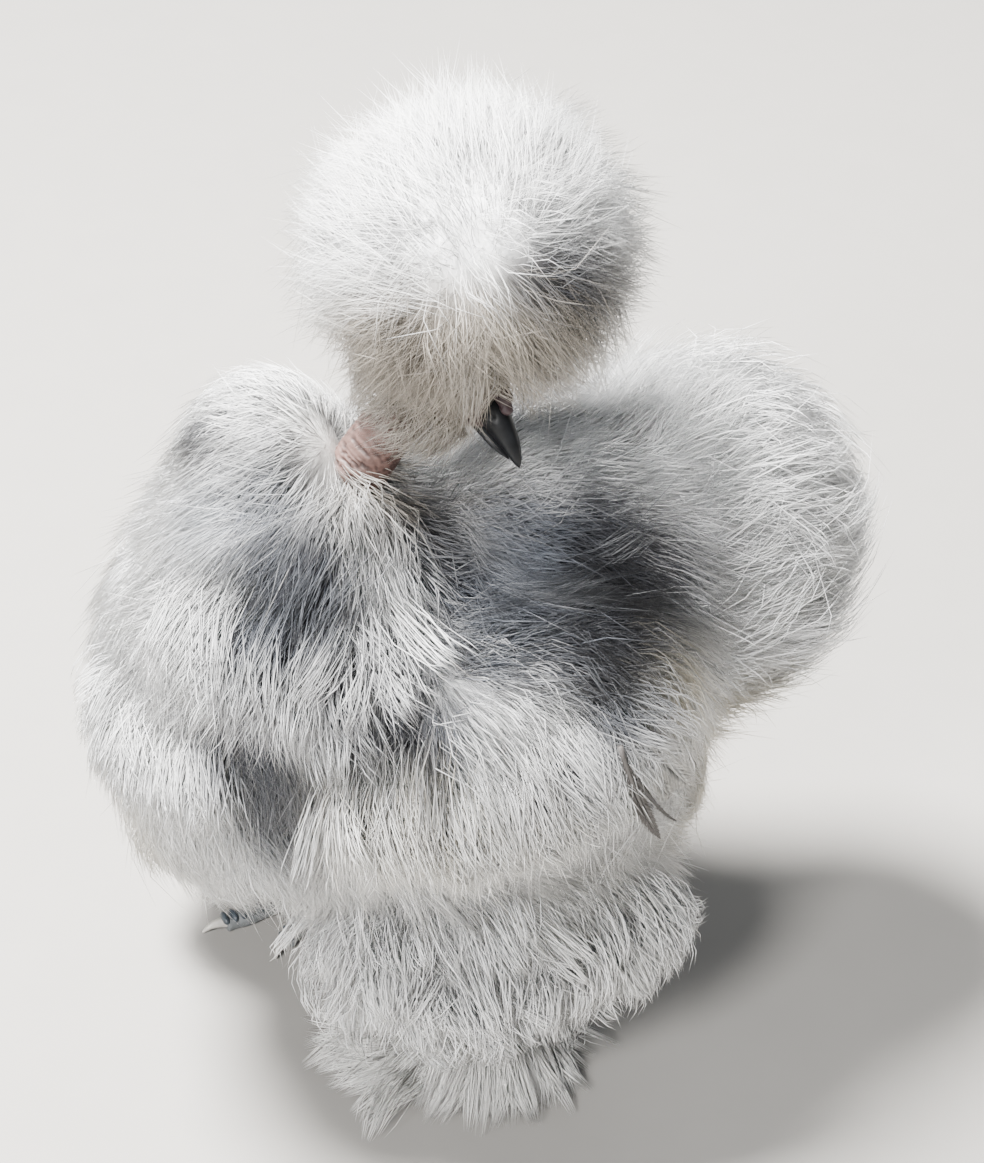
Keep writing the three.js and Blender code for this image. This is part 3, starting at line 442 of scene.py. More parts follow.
def grown_together(parts, voxel, smoothing):
    """Closed surfaces melted into one skin of small even faces, back as points and triangles."""
    points, triangles = gathered(parts)
    mesh = fill_mesh("melt", points, triangles)
    lump = bpy.data.objects.new("melt", mesh)
    bpy.context.collection.objects.link(lump)
    remesh = lump.modifiers.new("melt", "REMESH")
    remesh.mode = "VOXEL"
    remesh.voxel_size = voxel * MM
    smooth = lump.modifiers.new("smooth", "SMOOTH")
    smooth.iterations = smoothing
    smooth.factor = 0.5
    seen = bpy.context.evaluated_depsgraph_get()
    melted = bpy.data.meshes.new_from_object(lump.evaluated_get(seen))
    melted.calc_loop_triangles()
    places = np.empty(len(melted.vertices) * 3, np.float32)
    melted.vertices.foreach_get("co", places)
    corners = np.empty(len(melted.loop_triangles) * 3, np.int32)
    melted.loop_triangles.foreach_get("vertices", corners)
    bpy.data.objects.remove(lump)
    bpy.data.meshes.remove(melted)
    return places.reshape(-1, 3) / MM - STANDS_AT, corners.reshape(-1, 3)


def normals_of(points, triangles):
    """The outward direction at each point of a surface."""
    a, b, c = (points[triangles[:, i]] for i in range(3))
    faces = np.cross(b - a, c - a)
    total = np.zeros_like(points)
    for i in range(3):
        np.add.at(total, triangles[:, i], faces)
    return unit(total)


def along_path(path, points):
    """How far along a path each point lies, as a share, and how far from it."""
    gaps = np.linalg.norm(points[:, None] - smooth_path(path, PATH_STEPS + 1)[None], axis=-1)
    return gaps.argmin(1) / PATH_STEPS, gaps.min(1)


def sample(path, share):
    """A point on a smooth curve through a path's points."""
    at = share * (len(path) - 1)
    i = min(int(at), len(path) - 2)
    t = at - i
    before, after = path[max(i - 1, 0)], path[min(i + 2, len(path) - 1)]
    a, b = path[i], path[i + 1]
    return 0.5 * (
        2 * a + (b - before) * t + (2 * before - 5 * a + 4 * b - after) * t**2
        + (3 * a - before - 3 * b + after) * t**3
    )


def smooth_path(path, steps):
    return np.array([sample(np.asarray(path, float), s) for s in np.linspace(0, 1, steps)])


def head_bead(middle, radii):
    return bead(head_point(*middle), radii, HEAD_AXES)


def lid(side):
    """The rims of the lids: a ring round the eye, wider than it is high, open towards its side."""
    outward = np.array((math.sin(LID_YAW), side * math.cos(LID_YAW), 0))
    ahead = np.array((math.cos(LID_YAW), -side * math.sin(LID_YAW), 0))
    middle = np.array((EYE_AT[0], side * (EYE_AT[1] + LID_LIFT), EYE_AT[2]))
    ring = []
    for angle in np.linspace(0, 2 * math.pi, 29)[:-1]:
        spoke = ahead * math.cos(angle) * LID_LONG + np.array((0, 0, 1)) * math.sin(angle) * LID_HIGH
        rim = []
        for around in np.linspace(0, 2 * math.pi, 9)[:-1]:
            out = LID_RADIUS + LID_THICKNESS * math.cos(around)
            rim.append(head_point(*(middle + spoke * out + outward * LID_THICKNESS * math.sin(around))))
        ring.append(rim)
    points = np.reshape(ring, (-1, 3))
    a = np.arange(len(points)).reshape(len(ring), -1)
    b = np.roll(a, -1, 1)
    c, d = np.roll(b, -1, 0), np.roll(a, -1, 0)
    triangles = np.vstack((np.stack((a, b, c), -1).reshape(-1, 3), np.stack((a, c, d), -1).reshape(-1, 3)))
    return points, facing_out(points, triangles)


def trunk():
    """The body under its plumage."""
    beads = [bead(f["centre"], np.array(f["reach"]) * SKIN_DEPTH, turn_of(f)) for f in BODY]
    return grown_together(beads, BODY_VOXEL, 8)


def head_and_neck():
    """Skull, cheeks, comb, wattles, lobes, lids and the bare neck, with its folds."""
    neck = smooth_path(NECK_PATH, 30)
    parts = [tube(neck, NECK_RADIUS + NECK_FLARE * (1 - np.linspace(0, 1, 30)) ** 3, 28)]
    parts += [head_bead(*one) for one in SKULL_BEADS]
    parts += [head_bead((f, l, u), (1.15 * r, r, 0.9 * r)) for f, l, u, r in COMB_LUMPS]
    for side in (1, -1):
        parts += [head_bead((m[0], side * m[1], m[2]), r) for m, r in (*WATTLE_BEADS, LOBE_BEAD)]
        parts.append(lid(side))
    points, triangles = grown_together(parts, HEAD_VOXEL, 1)
    share, away = along_path(NECK_PATH, points)
    bare = np.clip((BARE_TO - share) / 0.12, 0, 1) * np.clip((away - 4) / 3, 0, 1)
    around = (points - SKULL_AT) @ LEFT
    length = np.linalg.norm(np.diff(NECK_PATH, axis=0), axis=1).sum()
    wavering = 0.9 * np.sin(around * 0.55 + share * 21) + 0.6 * np.sin(around * 1.3 - share * 34)
    turns = (share * length + 0.45 * around + wavering) / WRINKLE
    folds = np.abs(np.sin(math.pi * turns)) ** 0.75
    depth = 0.7 + 0.3 * np.sin(share * 17 + around * 0.4)
    points = points - normals_of(points, triangles) * (bare * depth * (1 - folds))[:, None]
    return points, triangles, bare, folds


def head_tints(points, bare, folds):
    """Brownish pink neck with painted shade in its furrows, mulberry face and comb, blue-green lobes."""
    # Painted shade: the neck darkens towards near black at the bottom of each fold.
    pink = FURROW_PAINTED_SHADE + (PINK - FURROW_PAINTED_SHADE) * np.clip(0.1 + 0.95 * folds, 0, 1)[:, None]
    tint = MULBERRY + (pink - MULBERRY) * bare[:, None]
    for side in (1, -1):
        lobe = head_point(LOBE_BEAD[0][0], side * LOBE_BEAD[0][1], LOBE_BEAD[0][2])
        near = np.clip((5.2 - np.linalg.norm(points - lobe, axis=1)) / 1.2, 0, 1)
        tint = tint + (LOBE_BLUE - tint) * near[:, None]
    return tint


trunk_points, trunk_triangles = trunk()
head_points, head_triangles, *neck_skin = head_and_neck()


# The feet.
# Each stands on three toes in front, one behind and the breed's fifth toe above it, with slate scutes.
# The shanks and the outer toes are feathered. The soles are flat on the floor.
SHANK_RADIUS = 5.6
TOE_RADIUS = 4.1
BALL_HEIGHT = 7
BALL_RADII = (8, 8, 7.5)
SOLE = 0.02
FEET = {
    "left": dict(side=1, at=(37, 2, 0), turn=-8, hock=(42, 14, 56)),
    "right": dict(side=-1, at=(-50, -29, 0), turn=8, hock=(-50, -24, 56)),
}
TOES = [
    dict(angle=-38, length=30, rise=0, claw=9),
    dict(angle=0, length=40, rise=0, claw=9),
    dict(angle=36, length=32, rise=0, claw=9),
    dict(angle=-160, length=21, rise=0, claw=8),
    dict(angle=-138, length=20, rise=13, claw=9),
]
# A share of the toe's length, the height there, and a share of the toe's rise.
TOE_STATIONS = ((0, 9, 0), (0.35, 6.28, 0.4), (0.7, 3.28, 0.8), (1, 2.68, 1))


def near_foot(foot, angle, along, up):
    """Places near a foot: how far from its middle, in a direction from the middle toe outwards, and up."""
    facing = math.radians(foot["turn"]) + np.radians(angle) * foot["side"]
    ahead = np.stack((np.sin(facing), -np.cos(facing), np.zeros_like(facing)), -1)
    flat = ahead * np.asarray(along)[..., None]
    return flat + np.array(foot["at"], float) + np.array((0, 0, 1)) * np.asarray(up)[..., None]


def toe_path(foot, toe):
    """The middle of a toe from the ball of the foot to the root of its claw."""
    rise, length = toe["rise"], toe["length"]
    return [near_foot(foot, toe["angle"], length * s, high + rise * lift) for s, high, lift in TOE_STATIONS]


def foot_parts(foot):
    """The shank, the ball of the foot and its toes, each toe with a pad at every joint."""
    hock, at = np.array(foot["hock"], float), np.array(foot["at"], float) + np.array((0, 0, BALL_HEIGHT))
    shares = np.linspace(0, 1, 14)
    shank = hock + (at - hock) * shares[:, None]
    parts = [tube(shank, SHANK_RADIUS * (1.1 - 0.15 * np.sin(math.pi * shares)))]
    parts.append(bead(at, BALL_RADII))
    for toe in TOES:
        path = smooth_path(toe_path(foot, toe), 22)
        shares = np.linspace(0, 1, 22)
        joints = 1 + 0.07 * np.cos(shares * 2 * math.pi * (toe["length"] / 10))
        parts.append(tube(path, TOE_RADIUS * (1.08 - 0.28 * shares) * joints))
    return parts


feet = [grown_together(foot_parts(foot), FOOT_VOXEL, 1) for foot in FEET.values()]
for points, triangles in feet:
    points[:, 2] = np.maximum(points[:, 2], SOLE)

skin_parts = [(trunk_points, trunk_triangles), (head_points, head_triangles), *feet]
skin_points, skin_triangles = gathered(skin_parts)
# The trunk's down takes the markings a little darker, as painted shade deep under the plumage.
skin_tints = np.vstack((
    marked(trunk_points) * DOWN_PAINTED_SHADE,
    head_tints(head_points, *neck_skin),
    *[np.broadcast_to(SEAM, points.shape) for points, triangles in feet],
))
place(
    "skin",
    fill_mesh("skin", skin_points, skin_triangles, skin_tints),
    paint("bird_skin", 0.55, (0.75, 1.0), 700, 0.35),
    "neck_skin",
    *("neck head comb wattle_left wattle_right earlobe_left earlobe_right".split()),
    *("shank_left shank_right foot_left foot_right".split()),
    *("hackle breast saddle torso tail wing_left wing_right thigh_left thigh_right crest".split()),
)


# The coat.
# A silkie's feathers have no hooks, so their barbs part into long loose hairs. They grow in tufts from the
# down, lie away from the whorl of each form, overlap and end in fine points. Every hair is a thin closed
# spike of three sides.
GOLDEN_TURN = math.pi * (3 - math.sqrt(5))
BLEND = 15
OWN_PULL = 3
HAIR_ROOT = 0.72
BURIED = 0.8
LOWEST_ROOT = 14
STAND_OUT = np.array((7.0, 8.0, 12.0))
# The stations along a hair of one bend and of two, as shares of its length.
STATIONS = {1: (0, 0.5, 1), 2: (0, 0.4, 0.74, 1)}
HAIR_LENGTHS = (0.62, 1.12)
TUFT_ENDS = (-0.05, 0.04)
WISP_LONGER, WISP_HIGHER = 0.3, 0.06
OWN_LEAN, OWN_CURL = 0.7, 0.6
MOST_SHIFT = 1.2
CORNERS = (math.pi / 2, math.pi * 7 / 6, math.pi * 11 / 6)
TAPER = ((0, 0.5, 0.8, 1), (0.9, 1.0, 0.7, 0))
FEATHER_SHARE = 0.6
ROOT_PAINTED_SHADE = 0.42
PATCH = 0.003
LANES = 16


def shell(points, own, forms):
    """How far out points are in the plumage, the slope there, and the feathers' lie.

    At 1 they are on its outer face. The forms melt into one another, and a feather follows its own form
    more than the others."""
    levels, slopes, lies = [], [], []
    for form in forms:
        turn = turn_of(form)
        local = (points - form["centre"]) @ turn.T / form["reach"]
        level = np.linalg.norm(local, axis=-1)
        direction = local / np.maximum(level, 1e-6)[..., None]
        whorl = unit(np.array(form["whorl"], float))
        away = (direction @ whorl)[..., None] * direction - whorl
        levels.append(level)
        slopes.append((direction / form["reach"]) @ turn)
        lies.append(unit((away * form["reach"]) @ turn) * (OWN_PULL if form is own else 1))
    levels = np.stack(levels)
    least = levels.min(0)
    weights = np.exp(-BLEND * (levels - least))
    total = weights.sum(0)
    slope = sum(w[..., None] * one for w, one in zip(weights, slopes)) / total[..., None]
    lie = sum(w[..., None] * one for w, one in zip(weights, lies))
    return least - np.log(total) / BLEND, slope, lie


def settled(points, own, level, forms):
    """Points moved along the slope onto one level of the plumage."""
    for _ in range(2):
        now, slope = shell(points, own, forms)[:2]
        points = points + slope * ((level - now) / np.einsum("...i,...i->...", slope, slope))[..., None]
    return points


def tuft_roots(form, count, root, draw, forms):
    """Even roots in a form's down, none inside a neighbour, and their directions from the form's middle."""
    numbers = np.arange(count) + 0.5
    height = 1 - 2 * numbers / count
    around = numbers * GOLDEN_TURN
    ring = np.sqrt(1 - height**2)
    directions = np.stack((ring * np.cos(around), ring * np.sin(around), height), -1)
    directions = unit(directions + draw.normal(0, 0.7 / math.sqrt(count), directions.shape))
    roots = (directions * np.array(form["reach"]) * root) @ turn_of(form) + form["centre"]
    free = (shell(roots, form, forms)[0] > root * BURIED) & (roots[:, 2] > LOWEST_ROOT)
    return roots[free], directions[free]


def edge_roots(form, path, count, root, wide, draw, forms):
    """Roots strewn along a path over the plumage, and their directions from the form's middle."""
    shares = (np.arange(count) + draw.random(count)) / count
    roots = np.array([sample(np.array(path, float), share) for share in shares])
    roots = settled(roots + draw.normal(0, wide, roots.shape), form, root, forms)
    return roots, unit((roots - form["centre"]) @ turn_of(form).T / form["reach"])


def hairs(form, tufts, each, seed, patch, long, width=0.32, bends=1, root=HAIR_ROOT, top=(0.88, 1.03),
          lift=0.75, splay=2.6, clump=0.62, lean=11, curl=12, droop=0.3, hold=0.6, stiff=0.35, wisps=0.03,
          keep=None, parting=None, edge=None, wide=4, tip_pale=0.1, forms=BODY):
    """Points, triangles, tints and map places of tufts of hairs, all over a form or along an edge on it.

    The hairs of a tuft start within "splay" of its root, rise to the levels "top" by the power "lift",
    lean and curl by degrees, droop, and draw together by the share "clump". "Hold" is how strongly a
    hair that stands too high comes back, and "stiff" how much it keeps its course."""
    draw = np.random.default_rng(seed)
    if edge is None:
        roots, tuft = tuft_roots(form, tufts, root, draw, forms)
    else:
        roots, tuft = edge_roots(form, edge, tufts, root, wide, draw, forms)
    if keep is not None:
        chosen = keep(roots)
        roots, tuft = roots[chosen], tuft[chosen]
    of_tuft = np.repeat(np.arange(len(tuft)), each)
    count = len(of_tuft)
    wisp = draw.random(count) < wisps
    length = long * draw.uniform(*HAIR_LENGTHS, count) * (1 + WISP_LONGER * wisp)
    length = length * (1 + draw.normal(0, 0.08, len(tuft)))[of_tuft]
    ends = draw.uniform(*top, count) + draw.uniform(*TUFT_ENDS, len(tuft))[of_tuft] + WISP_HIGHER * wisp
    leaning = draw.normal(0, math.radians(lean), len(tuft))[of_tuft]
    leaning = leaning + draw.normal(0, math.radians(lean) * OWN_LEAN, count)
    bending = draw.normal(0, math.radians(curl), len(tuft))[of_tuft]
    bending = bending + draw.normal(0, math.radians(curl) * OWN_CURL, count)
    place_now = settled(roots[of_tuft] + draw.normal(0, splay, (count, 3)), form, root, forms)
    stations = STATIONS[bends]
    spine = [place_now]
    going = None
    for before, after in zip(stations[:-1], stations[1:]):
        for half in (0.5, 1):
            s = before + (after - before) * half
            step = length * (after - before) / 2
            slope, lie = shell(place_now, form, forms)[1:]
            out = unit(slope)
            lie = unit(lie) + np.array((0, 0, -droop))
            lie = unit(lie - np.einsum("ij,ij->i", lie, out)[:, None] * out)
            turned = leaning + bending * s
            lie = lie * np.cos(turned)[:, None] + np.cross(out, lie) * np.sin(turned)[:, None]
            going = lie if going is None else unit(going * stiff + lie * (1 - stiff))
            moved = place_now + going * step[:, None]
            level, slope = shell(moved, form, forms)[:2]
            wanted = root + (ends - root) * s**lift
            shift = wanted - level
            shift = np.where(shift > 0, shift, shift * hold) / np.linalg.norm(slope, axis=1)
            shift = np.clip(shift, -MOST_SHIFT * step, MOST_SHIFT * step)
            settled_at = moved + unit(slope) * shift[:, None]
            going = unit(settled_at - place_now)
            place_now = settled_at
        spine.append(place_now)
    spine = np.stack(spine, 1)
    leaders = spine.reshape(len(tuft), each, len(stations), 3).mean(1)[of_tuft]
    pull = clump * np.array(stations)[None, :, None] ** 1.5 * draw.uniform(0.3, 1, (count, 1, 1))
    spine = spine + (leaders - spine) * pull * (1 - wisp)[:, None, None]
    spine[..., 2] = np.maximum(spine[..., 2], 1.0 + draw.uniform(0, 1.5, count)[:, None])
    if parting is not None:
        between = (spine[:, 1:] + spine[:, :-1]) / 2
        free = ~(parting(spine).any(1) | parting(between).any(1))
        spine, of_tuft = spine[free], of_tuft[free]
    spine, of_tuft = trimmed(spine, of_tuft)
    return spiked(spine, np.array(stations), tuft, of_tuft, width, draw, tip_pale, patch)


def trimmed(spine, of_tuft):
    """Hairs without the few that would stand far out of the hen's own size."""
    low, high = np.array(solid_box) + np.array((-STAND_OUT, STAND_OUT)) * MM
    placed = in_frame(spine.reshape(-1, 3)).reshape(spine.shape)
    kept = ((placed > low) & (placed < high)).all((1, 2))
    return spine[kept], of_tuft[kept]


def feather_tints(points, of_tuft, draw):
    """The colour of each hair at one of its stations, mostly that of its whole feather."""
    middles = np.stack([np.bincount(of_tuft, points[:, i]) for i in range(3)], -1)
    middles = middles / np.maximum(np.bincount(of_tuft), 1)[:, None]
    of_feather = marked(middles, draw.random(len(middles))) * draw.normal(0.97, 0.11, (len(middles), 1))
    of_hair = marked(points, draw.random(len(points)))
    return of_feather[of_tuft] * FEATHER_SHARE + of_hair * (1 - FEATHER_SHARE)


def spiked(spine, stations, tuft, of_tuft, width, draw, tip_pale, patch, tints=None):
    """Closed three-sided spikes, pointed at both ends, along rows of points, with tints and map places."""
    count, rows = spine.shape[:2]
    along = unit(np.gradient(spine, axis=1))
    side = unit(np.cross(along, np.array((0.21, 0.13, 0.97))))
    over = np.cross(side, along)
    thick = width * draw.uniform(0.7, 1.25, count) / 2
    taper = np.interp(stations, *TAPER)
    rings = [spine[:, 0]]
    for row in range(1, rows - 1):
        radius = (thick * taper[row])[:, None]
        for angle in CORNERS:
            rings.append(spine[:, row] + side[:, row] * math.cos(angle) * radius
                         + over[:, row] * math.sin(angle) * radius)
    rings.append(spine[:, -1])
    points = np.stack(rings, 1)
    each = points.shape[1]
    faces = [(0, 1 + i, 1 + (i + 1) % 3) for i in range(3)]
    for row in range(rows - 3):
        for i in range(3):
            j = (i + 1) % 3
            a, b = 1 + row * 3, 4 + row * 3
            faces += [(a + i, b + j, a + j), (a + i, b + i, b + j)]
    last = each - 4
    faces += [(last + i, each - 1, last + (i + 1) % 3) for i in range(3)]
    starts = np.arange(count)[:, None, None] * each
    triangles = (np.array(faces)[None] + starts).reshape(-1, 3)
    share = np.concatenate([[0], np.repeat(stations[1:-1], 3), [1]])
    shade = draw.normal(0.98, 0.13, (count, 1))
    near = far = tints
    if tints is None:
        near, far = (feather_tints(spine[:, row], of_tuft, draw) for row in (1, -1))
    far = far + (WHITE - far) * tip_pale
    tint = near[:, None] + (far - near)[:, None] * np.clip(share * 1.6 - 0.6, 0, 1)[None, :, None]
    # Painted shade: each hair darkens towards its root, so the depth between the locks reads dark. Each
    # hair's own tone also varies at random.
    tint = tint * (ROOT_PAINTED_SHADE + (1 - ROOT_PAINTED_SHADE) * share)[None, :, None] * shade[:, None]
    flat = tuft_place(tuft, patch)[of_tuft]
    order = np.concatenate([[0], np.cumsum(np.diff(of_tuft) == 0)])
    lane = (order % LANES) / LANES - 0.5
    sides = np.concatenate([[0.33], np.tile((0, 0.33, 0.66), rows - 2), [0.33]]) / LANES
    u = flat[:, :1] + PATCH * (lane[:, None] + sides[None])
    v = flat[:, 1:] + PATCH * (share[None] - 0.5)
    places = np.stack((u, v), -1).reshape(-1, 2)
    return points.reshape(-1, 3), triangles, np.clip(tint.reshape(-1, 3), 0, 0.96), places


def tuft_place(directions, patch):
    """Where a tuft's root lies on its form's unwrap: round it and up it, within the form's own patch."""
    around = np.arctan2(directions[:, 1], directions[:, 0]) / (2 * math.pi) + 0.5
    up = (directions[:, 2] + 1) / 2
    left, low, wide, high = patch
    inset = 0.005
    return np.stack((
        left + inset + around * (wide - 2 * inset),
        low + inset + up * (high - 2 * inset),
    ), -1)


def coat_piece(name, slot, nodes, grow, *layers):
    """Joins the layers of one region into one piece, each on its own level strip of the map."""
    count = len(layers)
    grown = [
        grow(*given, patch=(0, number / count, 1, 1 / count), **ways)
        for number, (*given, ways) in enumerate(layers)
    ]
    place(name, fill_mesh(name, *gathered(grown)), PLUMAGE, slot, *nodes.split())


PLUMAGE = paint("silky_plumage", 0.62, (0.93, 1.0), 260, 0)
LOCKS = dict(clump=0.95, splay=3.8, lean=17, curl=18, lift=0.62, width=0.36)
# The locks of an edge hang free and end in white points.
EDGES = dict(clump=1.0, splay=3.4, lean=14, curl=18, lift=0.5, root=0.88, hold=0.1, stiff=0.65, droop=1.2,
             bends=2, width=0.4, tip_pale=0.6, wisps=0)
MANTLE = [(24, -86, 214), (40, -79, 209), (52, -68, 204), (58, -53, 203), (57, -38, 209)]
BIB = [(8, -117, 172), (24, -114, 168), (42, -103, 168), (52, -92, 172)]
FRINGE = [(68, -56, 166), (80, -40, 165), (89, -19, 162), (91, -1, 166), (89, 14, 174), (84, 28, 181)]
SKIRT = [(50, -50, 78), (74, -32, 78), (84, 5, 78), (76, 40, 80), (62, 52, 82)]


def above_the_toes(roots):
    return roots[:, 2] > 50


def above_the_shank(roots):
    return roots[:, 2] > 64


coat_piece(
    "hackle_feathers", "grey_plumage", "hackle", hairs,
    (CAPE, 640, 24, 11, dict(long=38)),
    (CAPE, 200, 28, 31, LOCKS | dict(long=50, top=(0.98, 1.08), droop=0.5, hold=0.3)),
    (CAPE, 56, 30, 51, EDGES | dict(long=38, top=(1.06, 1.16), edge=MANTLE)),
    (COLLAR, 420, 22, 12, dict(long=34, top=(0.88, 1.1), curl=18, wisps=0.08)),
)
coat_piece(
    "breast_feathers", "plumage", "breast", hairs,
    (BREAST, 900, 20, 13, dict(long=38)),
    (BREAST, 220, 28, 32, LOCKS | dict(long=46, top=(0.98, 1.06))),
    (BREAST, 40, 30, 52, EDGES | dict(long=34, top=(1.03, 1.1), edge=BIB)),
)
coat_piece(
    "saddle_feathers", "grey_plumage", "saddle", hairs,
    (SADDLE, 700, 20, 14, dict(long=38, droop=0.5)),
    (SADDLE, 160, 28, 33, LOCKS | dict(long=46, top=(0.98, 1.06), droop=0.6)),
)
coat_piece(
    "body_feathers", "plumage", "torso", hairs,
    (TORSO, 1250, 18, 15, dict(long=42)),
    (TORSO, 260, 26, 34, LOCKS | dict(long=50, top=(0.98, 1.06))),
    (VENT, 600, 16, 16, dict(long=36)),
)
TAIL_LOCKS = dict(clump=0.75, curl=45, bends=2, wisps=0.1, splay=3.4)
coat_piece(
    "tail_feathers", "plumage", "tail", hairs,
    (TAIL, 760, 24, 17, dict(long=42, curl=24, droop=0.1, top=(0.84, 1.04))),
    (TAIL, 150, 24, 35, TAIL_LOCKS | dict(long=46, droop=0.15, top=(0.98, 1.12))),
)
WING_DOWN = dict(long=40, hold=0.4, stiff=0.5)
WING_LOCKS = LOCKS | dict(long=52, top=(1.0, 1.08), droop=0.5, hold=0.2, stiff=0.6)
coat_piece(
    "wing_left_feathers", "grey_plumage", "wing_left", hairs,
    (WING_LEFT, 700, 22, 18, WING_DOWN),
    (WING_LEFT, 170, 28, 36, WING_LOCKS),
    (WING_LEFT, 80, 30, 53, EDGES | dict(long=42, top=(1.05, 1.2), edge=FRINGE, wide=5)),
    (TIP_LEFT, 300, 16, 19, dict(long=36)),
)
coat_piece(
    "wing_right_feathers", "grey_plumage", "wing_right", hairs,
    (WING_RIGHT, 500, 14, 20, WING_DOWN),
    (WING_RIGHT, 110, 22, 37, WING_LOCKS),
    (TIP_RIGHT, 200, 14, 21, dict(long=36)),
)
LEG_DOWN = dict(hold=0.3, stiff=0.5, droop=0.5)
LEG_LOCKS = LOCKS | dict(hold=0.2, stiff=0.6, droop=0.5)
coat_piece(
    "thigh_left_feathers", "plumage", "thigh_left", hairs,
    (THIGH_LEFT, 1000, 22, 22, LEG_DOWN | dict(long=31, curl=20, keep=above_the_shank)),
    (THIGH_LEFT, 170, 26, 38, LEG_LOCKS | dict(long=36, top=(0.98, 1.1), keep=above_the_shank)),
    (THIGH_LEFT, 90, 26, 54, EDGES | dict(long=30, top=(1.0, 1.2), edge=SKIRT, wide=9)),
)
coat_piece(
    "thigh_right_feathers", "plumage", "thigh_right", hairs,
    (THIGH_RIGHT, 800, 16, 23, LEG_DOWN | dict(long=32, keep=above_the_toes)),
    (THIGH_RIGHT, 120, 24, 39, LEG_LOCKS | dict(long=38, top=(0.98, 1.12), keep=above_the_toes)),
)


def on_head(points):
    """How far ahead of the skull's middle, to its left and above it points are."""
    return np.moveaxis((points - SKULL_AT) @ HEAD_AXES.T, -1, 0)


def off_the_bill(roots):
    """Roots clear of the bill, the eyes and the bare neck."""
    ahead, beside, height = on_head(roots)
    eye = np.hypot(ahead - EYE_AT[0], height - EYE_AT[2])
    return (ahead < 10) & ((eye > 6.2) | (np.abs(beside) < 6)) & ~((ahead > 1) & (height < -3))


def over_the_bill(roots):
    """Roots of the crest that don't hang over the bill."""
    ahead, beside, height = on_head(roots)
    return ~((ahead > 6) & (height < 24) & (np.abs(beside) < 24))


def over_the_horn(points):
    """Places above the bill and to its right, where the hairs part and leave it bare."""
    ahead, beside, height = on_head(points)
    return (ahead > 18 + 0.19 * height) & (height > -9) & (np.abs(beside + 0.68 * height) < 6)


# The crest's longest hairs part higher up than the ones beneath them.
POMPOM = CREST | dict(whorl=(0.62, -0.3, 0.72))
CREST_WAYS = dict(wisps=0.1, hold=0.4, keep=over_the_bill, parting=over_the_horn)
coat_piece(
    "crest_feathers", "plumage", "crest", hairs,
    (CREST, 1000, 20, 24, CREST_WAYS | dict(
        long=27, width=0.25, root=0.6, lean=18, curl=24, droop=0.15, top=(0.84, 1.14), lift=0.95, splay=2.2,
        clump=0.6)),
    (POMPOM, 520, 13, 28, CREST_WAYS | dict(
        long=31, width=0.28, root=0.66, lean=22, curl=14, droop=0.1, top=(1.04, 1.2), lift=1.0, splay=1.8,
        clump=0.95, forms=[POMPOM])),
)

# The face's short hairs lie back and down over the cheeks, as far as the bare neck.
NAPE = dict(centre=(10, -11, 254), reach=(19, 19, 17), whorl=(0.4, 0.75, 0.55))
CHEEKS = dict(centre=head_point(-1, 0, -2.5), reach=(23, 19, 19), whorl=(0.8, 0, 0.6), axes=HEAD_AXES)
NECK_TOP = 0.76


def up_the_neck(roots):
    """Roots on the upper end of the neck."""
    return along_path(NECK_PATH, roots)[0] > NECK_TOP


FACE_WAYS = dict(width=0.26, splay=1.4, tip_pale=0.3, wisps=0.1)
coat_piece(
    "face_feathers", "plumage", "head", hairs,
    (CHEEKS, 520, 20, 25, FACE_WAYS | dict(
        long=29, forms=[CHEEKS], keep=off_the_bill, parting=over_the_horn, lean=18, curl=16, droop=0.8,
        top=(0.95, 1.45), hold=0.3, stiff=0.5, clump=0.8)),
    (NAPE, 260, 16, 26, FACE_WAYS | dict(
        long=21, forms=[NAPE], keep=up_the_neck, lean=20, curl=18, droop=0.4, top=(0.95, 1.4), clump=0.85)),
)


# The scutes.
# Broad slate plates of horn lie over the top of each toe, from side to side, one after another down to the
# claw, and narrow with the toe.
scute_tree = bpy.data.node_groups.new("toe_scutes", "GeometryNodeTree")
SCUTE_INPUTS = {
    "Toes": "Geometry", "Spacing": "Float", "Half Width": "Float", "Thickness": "Float",
    "Tip Share": "Float", "Horn": "Material",
}
for label, kind in SCUTE_INPUTS.items():
    scute_tree.interface.new_socket(label, in_out="INPUT", socket_type=f"NodeSocket{kind}")
scute_tree.interface.new_socket("Scutes", in_out="OUTPUT", socket_type="NodeSocketGeometry")
SCUTE_NODES = dict(
    given="NodeGroupInput", lines="GeometryNodeMeshToCurve", evenly="GeometryNodeResampleCurve",
    ahead="GeometryNodeInputTangent", aligned="FunctionNodeAlignRotationToVector",
    along_toe="GeometryNodeSplineParameter", narrowing="ShaderNodeMapRange",
    plate="GeometryNodeMeshIcoSphere", plate_size="ShaderNodeCombineXYZ", half_spacing="ShaderNodeMath",
    flattened="GeometryNodeTransform", laid="GeometryNodeInstanceOnPoints",
    real="GeometryNodeRealizeInstances", horn="GeometryNodeSetMaterial", out="NodeGroupOutput",
)
made = {label: scute_tree.nodes.new(kind) for label, kind in SCUTE_NODES.items()}
made["evenly"].mode = "LENGTH"
made["aligned"].axis = "X"
made["narrowing"].inputs["To Min"].default_value = 1
made["plate"].inputs["Subdivisions"].default_value = 3
made["half_spacing"].operation = "MULTIPLY"
SCUTE_OVERLAP = 0.56
made["half_spacing"].inputs[1].default_value = SCUTE_OVERLAP
